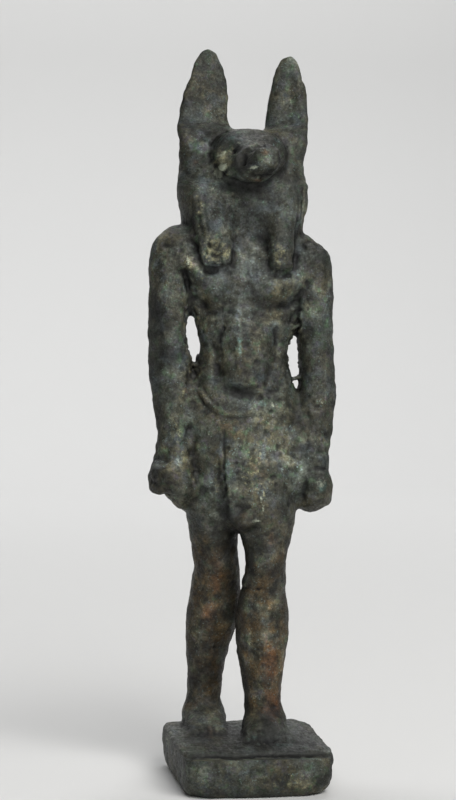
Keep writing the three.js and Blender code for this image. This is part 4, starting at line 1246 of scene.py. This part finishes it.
# surfaces turned towards either side are given painted shade in the tone, as light falls off there
side_shade = ease((np.abs(turned[0::3]) - 0.6) / 0.38)
attribute("tone", 0.5 + 0.32 * (sum_of(raw, TONE_LIGHT_AND_SHADE) - 0.8 * side_shade))
# how deep each point lies in small and in broad hollows, for the painted shade and highlight laid there
attribute("pit_shade_and_sheen", 0.5 - sample(fine_blur, raw) * 1.9)
attribute("crease", 0.5 - sample(wide_blur, raw) * 0.55)
attribute("rust", patches(raw, RUST))
attribute("crust", patches(raw, CRUST))
attribute("chalk", patches(raw, CHALK))
attribute("teal", patches(raw, TEAL))
attribute("painted_shade", patches(raw, PAINTED_SHADE_SPOTS))
attribute("pale_and_highlight", patches(raw, PALE_AND_HIGHLIGHT_SPOTS))
# where the deposits lie: drawn out along y on the head and on the top of the plinth
drawn = 1 - 0.72 * (ease((raw[:, 2] - 119.5) / 3.0) * ease((135.0 - raw[:, 2]) / 3.0) + ease((raw[:, 2] - 7.4) / 0.8) * ease((11.5 - raw[:, 2]) / 2.5))
place = mesh.attributes.new("place", "FLOAT_VECTOR", "POINT")
place.data.foreach_set("vector", (np.stack([raw[:, 0], raw[:, 1] * drawn, raw[:, 2]], 1) / 1000.0).astype(np.float32).ravel())

COOL = [
    (0.5, 112.0, 6.5, 6.0, 1.0),
    (-0.5, 102.5, 5.5, 4.6, 0.9),
    (-1.0, 93.0, 4.0, 4.0, 0.4),
    (-8.0, 137.0, 5.0, 9.0, 0.7),
    (9.8, 138.0, 4.0, 8.0, 0.45),
    (-7.0, 118.5, 4.0, 3.0, 0.5),
    (0.4, 129.8, 6.0, 2.0, 0.7),
    (10.4, 119.0, 3.0, 6.0, 0.4),
    (-16.5, 97.0, 3.0, 8.0, 0.5),
    (14.0, 72.0, 2.0, 10.0, 0.4),
    (6.0, 9.0, 12.0, 1.2, 0.7, -12.0, 10.0),
]
attribute("cool", patches(raw, COOL))
attribute("flake", 0.5 + 0.5 * np.tanh(3.0 * noise(raw, 3.4, 15.2)))
attribute("legs", ease((56.0 - raw[:, 2]) / 12.0) * ease((raw[:, 2] - 10.5) / 5.0))

# ---- finish -------------------------------------------------------------------------------------
mat = bpy.data.materials.new("patinated_bronze")
mat.use_nodes = True
nt = mat.node_tree
nt.nodes.clear()


def node(kind, **values):
    n = nt.nodes.new(kind)
    for k, v in values.items():
        setattr(n, k, v)
    return n


def link(a, b):
    nt.links.new(a, b)


coord = node("ShaderNodeAttribute", attribute_name="place").outputs["Vector"]


def noise_tex(size, detail=4.0, rough=0.6, offset=(0, 0, 0), distortion=0.0):
    """Noise whose main lumps are about size millimetres across."""
    m = node("ShaderNodeMapping")
    m.inputs["Location"].default_value = offset
    link(coord, m.inputs["Vector"])
    t = node("ShaderNodeTexNoise")
    t.inputs["Scale"].default_value = 1000.0 / size
    t.inputs["Detail"].default_value = detail
    t.inputs["Roughness"].default_value = rough
    t.inputs["Distortion"].default_value = distortion
    link(m.outputs[0], t.inputs["Vector"])
    return t.outputs["Fac"]


def ramp(value, *stops):
    r = node("ShaderNodeValToRGB")
    e = r.color_ramp.elements
    while len(e) < len(stops):
        e.new(0.5)
    for i, (pos, c) in enumerate(stops):
        e[i].position = pos
        e[i].color = (c, c, c, 1) if isinstance(c, (int, float)) else (*c, 1)
    link(value, r.inputs[0])
    return r.outputs[0]


def mix(fac, a, b, blend="MIX"):
    m = node("ShaderNodeMix", data_type="RGBA", blend_type=blend)
    if isinstance(fac, (int, float)):
        m.inputs[0].default_value = fac
    else:
        link(fac, m.inputs[0])
    for slot, v in ((6, a), (7, b)):
        if isinstance(v, tuple):
            m.inputs[slot].default_value = (*v, 1)
        else:
            link(v, m.inputs[slot])
    return m.outputs[2]


def calc(op, a, b=None, c=None, clamp=False):
    m = node("ShaderNodeMath", operation=op, use_clamp=clamp)
    for i, v in enumerate((a, b, c)):
        if v is None:
            continue
        if isinstance(v, (int, float)):
            m.inputs[i].default_value = v
        else:
            link(v, m.inputs[i])
    return m.outputs[0]


def attr(name):
    return node("ShaderNodeAttribute", attribute_name=name).outputs["Fac"]


def broken(zone, texture, level=0.62, pull=0.45, sharp=6.0):
    """A zone whose edge is broken up by a texture, as a deposit's is; the painted shade is broken up the same way."""
    t = calc("MULTIPLY_ADD", zone, pull, -level)
    t = calc("MULTIPLY", calc("ADD", t, texture), sharp, clamp=True)
    return calc("MULTIPLY", t, calc("MULTIPLY", zone, 3.0, clamp=True))


pit_shade_and_sheen, crease, flake, legs = attr("pit_shade_and_sheen"), attr("crease"), attr("flake"), attr("legs")
rust, crust, chalk, teal = attr("rust"), attr("crust"), attr("chalk"), attr("teal")
painted_shade, pale_and_highlight, tone, cool = attr("painted_shade"), attr("pale_and_highlight"), attr("tone"), attr("cool")

# the near-black first colour below is used only for painted shade
SHADE_BLACK = (0.014, 0.015, 0.013)
GREY_GREEN = (0.080, 0.096, 0.078)
OLIVE = (0.104, 0.094, 0.052)
BLUE_GREY = (0.066, 0.086, 0.096)
VIOLET = (0.088, 0.076, 0.096)
BROWN = (0.088, 0.055, 0.019)
GREEN = (0.070, 0.128, 0.066)
TEAL_C = (0.120, 0.215, 0.195)
CRUST_C = (0.360, 0.345, 0.200)
CHALK_C = (0.52, 0.57, 0.43)
RUST_C = (0.165, 0.070, 0.028)
OLIVE_DARK = (0.030, 0.030, 0.018)

big = noise_tex(6.5, 4, 0.6)
mid = noise_tex(2.4, 5, 0.65, (0.3, 0.1, 0.7))
small = noise_tex(1.0, 5, 0.7, (0.8, 0.5, 0.2))
tiny = noise_tex(0.5, 4, 0.7, (0.1, 0.9, 0.4))
grain = noise_tex(0.26, 3, 0.7, (0.6, 0.2, 0.9))

colour = mix(ramp(big, (0.40, 0.0), (0.60, 1.0)), GREY_GREEN, OLIVE)
colour = mix(ramp(noise_tex(4.0, 5, 0.6, (3, 1, 7)), (0.50, 0.0), (0.62, 0.8)), colour, BLUE_GREY)
colour = mix(ramp(noise_tex(1.7, 4, 0.6, (5, 1, 3)), (0.54, 0.0), (0.66, 0.7)), colour, VIOLET)
colour = mix(ramp(noise_tex(1.7, 3, 0.55, (2, 8, 1)), (0.55, 0.0), (0.66, 0.7)), colour, GREEN)
colour = mix(calc("MULTIPLY", legs, ramp(noise_tex(4.2, 5, 0.65, (9, 2, 5)), (0.40, 0.15), (0.56, 1.0))), colour, BROWN)
colour = mix(calc("MULTIPLY", cool, ramp(noise_tex(2.2, 4, 0.6, (6, 6, 2)), (0.36, 0.35), (0.56, 0.9))), colour, (0.082, 0.094, 0.102))
colour = mix(calc("MULTIPLY", flake, 0.20), colour, (0.120, 0.116, 0.090))
colour = mix(ramp(noise_tex(2.8, 5, 0.65, (4, 4, 9)), (0.48, 0.0), (0.62, 0.85)), colour, OLIVE_DARK)
colour = mix(calc("MULTIPLY", broken(rust, mid, 0.66, 0.55, 1.8), 0.9), colour, RUST_C)
colour = mix(calc("MULTIPLY", broken(crust, small, 0.70, 0.42, 4.0), 0.85), colour, CRUST_C)
colour = mix(calc("MULTIPLY", broken(teal, small, 0.74, 0.42, 3.0), 0.85), colour, TEAL_C)
# mottling, from millimetres down to grains
shade = ramp(mid, (0.30, 0.62), (0.50, 1.0), (0.68, 1.30))
colour = mix(1.0, colour, shade, "MULTIPLY")
shade = ramp(small, (0.32, 0.50), (0.47, 0.95), (0.60, 1.15), (0.72, 1.75))
colour = mix(1.0, colour, shade, "MULTIPLY")
shade = ramp(tiny, (0.30, 0.55), (0.50, 1.0), (0.70, 1.65))
colour = mix(1.0, colour, shade, "MULTIPLY")
colour = mix(ramp(grain, (0.60, 0.0), (0.72, 0.4)), colour, (0.24, 0.26, 0.22))
colour = mix(ramp(noise_tex(0.42, 3, 0.6, (7, 3, 3)), (0.63, 0.0), (0.68, 0.75)), colour, (0.20, 0.28, 0.26))
colour = mix(calc("MULTIPLY", broken(chalk, tiny, 0.72, 0.55, 4.0), 0.85), colour, CHALK_C)
# large tone at random; then the listed tones with their painted light and shade, and the pale places with their painted
# highlights
colour = mix(1.0, colour, ramp(noise_tex(4.6, 3, 0.5, (8, 1, 4)), (0.34, 0.55), (0.50, 1.0), (0.66, 1.60)), "MULTIPLY")
colour = mix(legs, colour, mix(1.0, colour, ramp(noise_tex(2.6, 4, 0.6, (2, 2, 6)), (0.36, 0.45), (0.50, 0.96), (0.64, 1.30)), "MULTIPLY"))
colour = mix(1.0, colour, ramp(noise_tex(11.0, 3, 0.5, (1, 6, 2)), (0.36, 0.36), (0.50, 0.585), (0.64, 0.92)), "MULTIPLY")
colour = mix(1.0, colour, ramp(tone, (0.0, 0.30), (0.5, 1.0), (1.0, 2.4)), "MULTIPLY")
colour = mix(1.0, colour, ramp(pale_and_highlight, (0.0, 1.0), (1.0, 1.9)), "MULTIPLY")
# painted shade and shadows, nearly black where deepest, with broken edges
colour = mix(calc("MULTIPLY", broken(painted_shade, small, 0.80, 0.75, 2.5), 0.85), colour, SHADE_BLACK)
# painted shade in small hollows, with some dirt in the pits, and a painted highlight with some rubbed wear on fine
# ridges; painted shade in broad creases and along broad rounded edges
colour = mix(1.0, colour, ramp(pit_shade_and_sheen, (0.28, 1.6), (0.44, 1.10), (0.52, 0.95), (0.63, 0.55), (0.80, 0.20)), "MULTIPLY")
colour = mix(1.0, colour, ramp(crease, (0.26, 0.66), (0.38, 1.02), (0.50, 1.05), (0.60, 0.80), (0.85, 0.30)), "MULTIPLY")

bsdf = node("ShaderNodeBsdfPrincipled")
out = node("ShaderNodeOutputMaterial")
link(colour, bsdf.inputs["Base Color"])
link(bsdf.outputs[0], out.inputs[0])
link(calc("MULTIPLY", ramp(small, (0.45, 0.0), (0.62, 1.0)), 0.35), bsdf.inputs["Metallic"])
bsdf.inputs["Specular IOR Level"].default_value = 0.4
link(ramp(tiny, (0.35, 0.72), (0.55, 0.55), (0.70, 0.38)), bsdf.inputs["Roughness"])
height = calc("ADD", calc("MULTIPLY", small, 1.0), calc("MULTIPLY", tiny, 0.7))
height = calc("ADD", height, calc("MULTIPLY", grain, 0.35))
bump = node("ShaderNodeBump")
bump.inputs["Strength"].default_value = 0.7
bump.inputs["Distance"].default_value = 0.00022
link(height, bump.inputs["Height"])
link(bump.outputs[0], bsdf.inputs["Normal"])

mesh.materials.clear()
mesh.materials.append(mat)

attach(statuette, "root")
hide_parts(NODE)

# ---- stage ------------------------------------------------------------------------------------------
# a plain pale sweep: floor, a round bend and a back wall
profile = [(-2.0, 0.0)]
for k in range(25):
    w = (math.pi / 2) * k / 24
    profile.append((1.3 + 0.5 * math.sin(w), 0.5 - 0.5 * math.cos(w)))
profile.append((1.8, 3.0))
sweep = bpy.data.meshes.new("sweep")
half = 2.2
sv = [(sx * half, py, pz) for py, pz in profile for sx in (-1, 1)]
sf = [(2 * i, 2 * i + 1, 2 * i + 3, 2 * i + 2) for i in range(len(profile) - 1)]
sweep.from_pydata(sv, [], sf)
sweep.polygons.foreach_set("use_smooth", [True] * len(sweep.polygons))
backdrop = bpy.data.objects.new("backdrop", sweep)
bpy.context.scene.collection.objects.link(backdrop)
paper = bpy.data.materials.new("paper")
paper.use_nodes = True
pb = paper.node_tree.nodes["Principled BSDF"]
pb.inputs["Base Color"].default_value = (0.64, 0.64, 0.635, 1)
pb.inputs["Roughness"].default_value = 0.95
pb.inputs["Specular IOR Level"].default_value = 0.1
sweep.materials.append(paper)

world = bpy.data.worlds.new("world")
bpy.context.scene.world = world
world.use_nodes = True
bg = world.node_tree.nodes["Background"]
bg.inputs[0].default_value = (0.95, 0.97, 1.0, 1)
bg.inputs[1].default_value = 0.13


def area(name, place, aim, size, power, tint=(1, 1, 1)):
    light = bpy.data.lights.new(name, "AREA")
    light.shape = "RECTANGLE"
    light.size, light.size_y = size
    light.energy = power
    light.color = tint
    o = bpy.data.objects.new(name, light)
    bpy.context.scene.collection.objects.link(o)
    o.location = place
    o.rotation_euler = (Vector(aim) - Vector(place)).to_track_quat("-Z", "Y").to_euler()
    return o


area("key", (0.34, -0.80, 0.86), (0, 0, 0.08), (0.75, 0.75), 13.3, (1.0, 0.99, 0.97))
area("front", (-0.10, -1.0, 0.22), (0, 0, 0.08), (0.4, 0.3), 1.2)
area("wall", (0, 0.9, 1.9), (0, 1.7, 0.45), (2.0, 0.6), 34.0)

# ---- camera -----------------------------------------------------------------------------------------
VIEW_YAW = math.radians(7.5)
VIEW_FAR = 365.0
VIEW_SIDE = -4.0
VIEW_HIGH = 75.0
ahead = np.array([math.sin(VIEW_YAW), math.cos(VIEW_YAW), 0.0])
aside = np.array([math.cos(VIEW_YAW), -math.sin(VIEW_YAW), 0.0])
place = -VIEW_FAR * ahead + VIEW_SIDE * aside + np.array([0, 0, VIEW_HIGH]) - OFFSET
cam_data = bpy.data.cameras.new("camera")
cam = bpy.data.objects.new("camera", cam_data)
bpy.context.scene.collection.objects.link(cam)
cam.location = place / 1000.0
cam.rotation_euler = (math.pi / 2, 0, -VIEW_YAW)
cam_data.sensor_fit = "AUTO"
cam_data.sensor_width = 36.0
cam_data.lens = 36.0 * 1800.0 / 800.0
cam_data.shift_y = 10.0 / 800.0
cam_data.clip_start = 0.01
cam_data.clip_end = 20
bpy.context.scene.camera = cam
bpy.context.scene.view_settings.view_transform = "Standard"
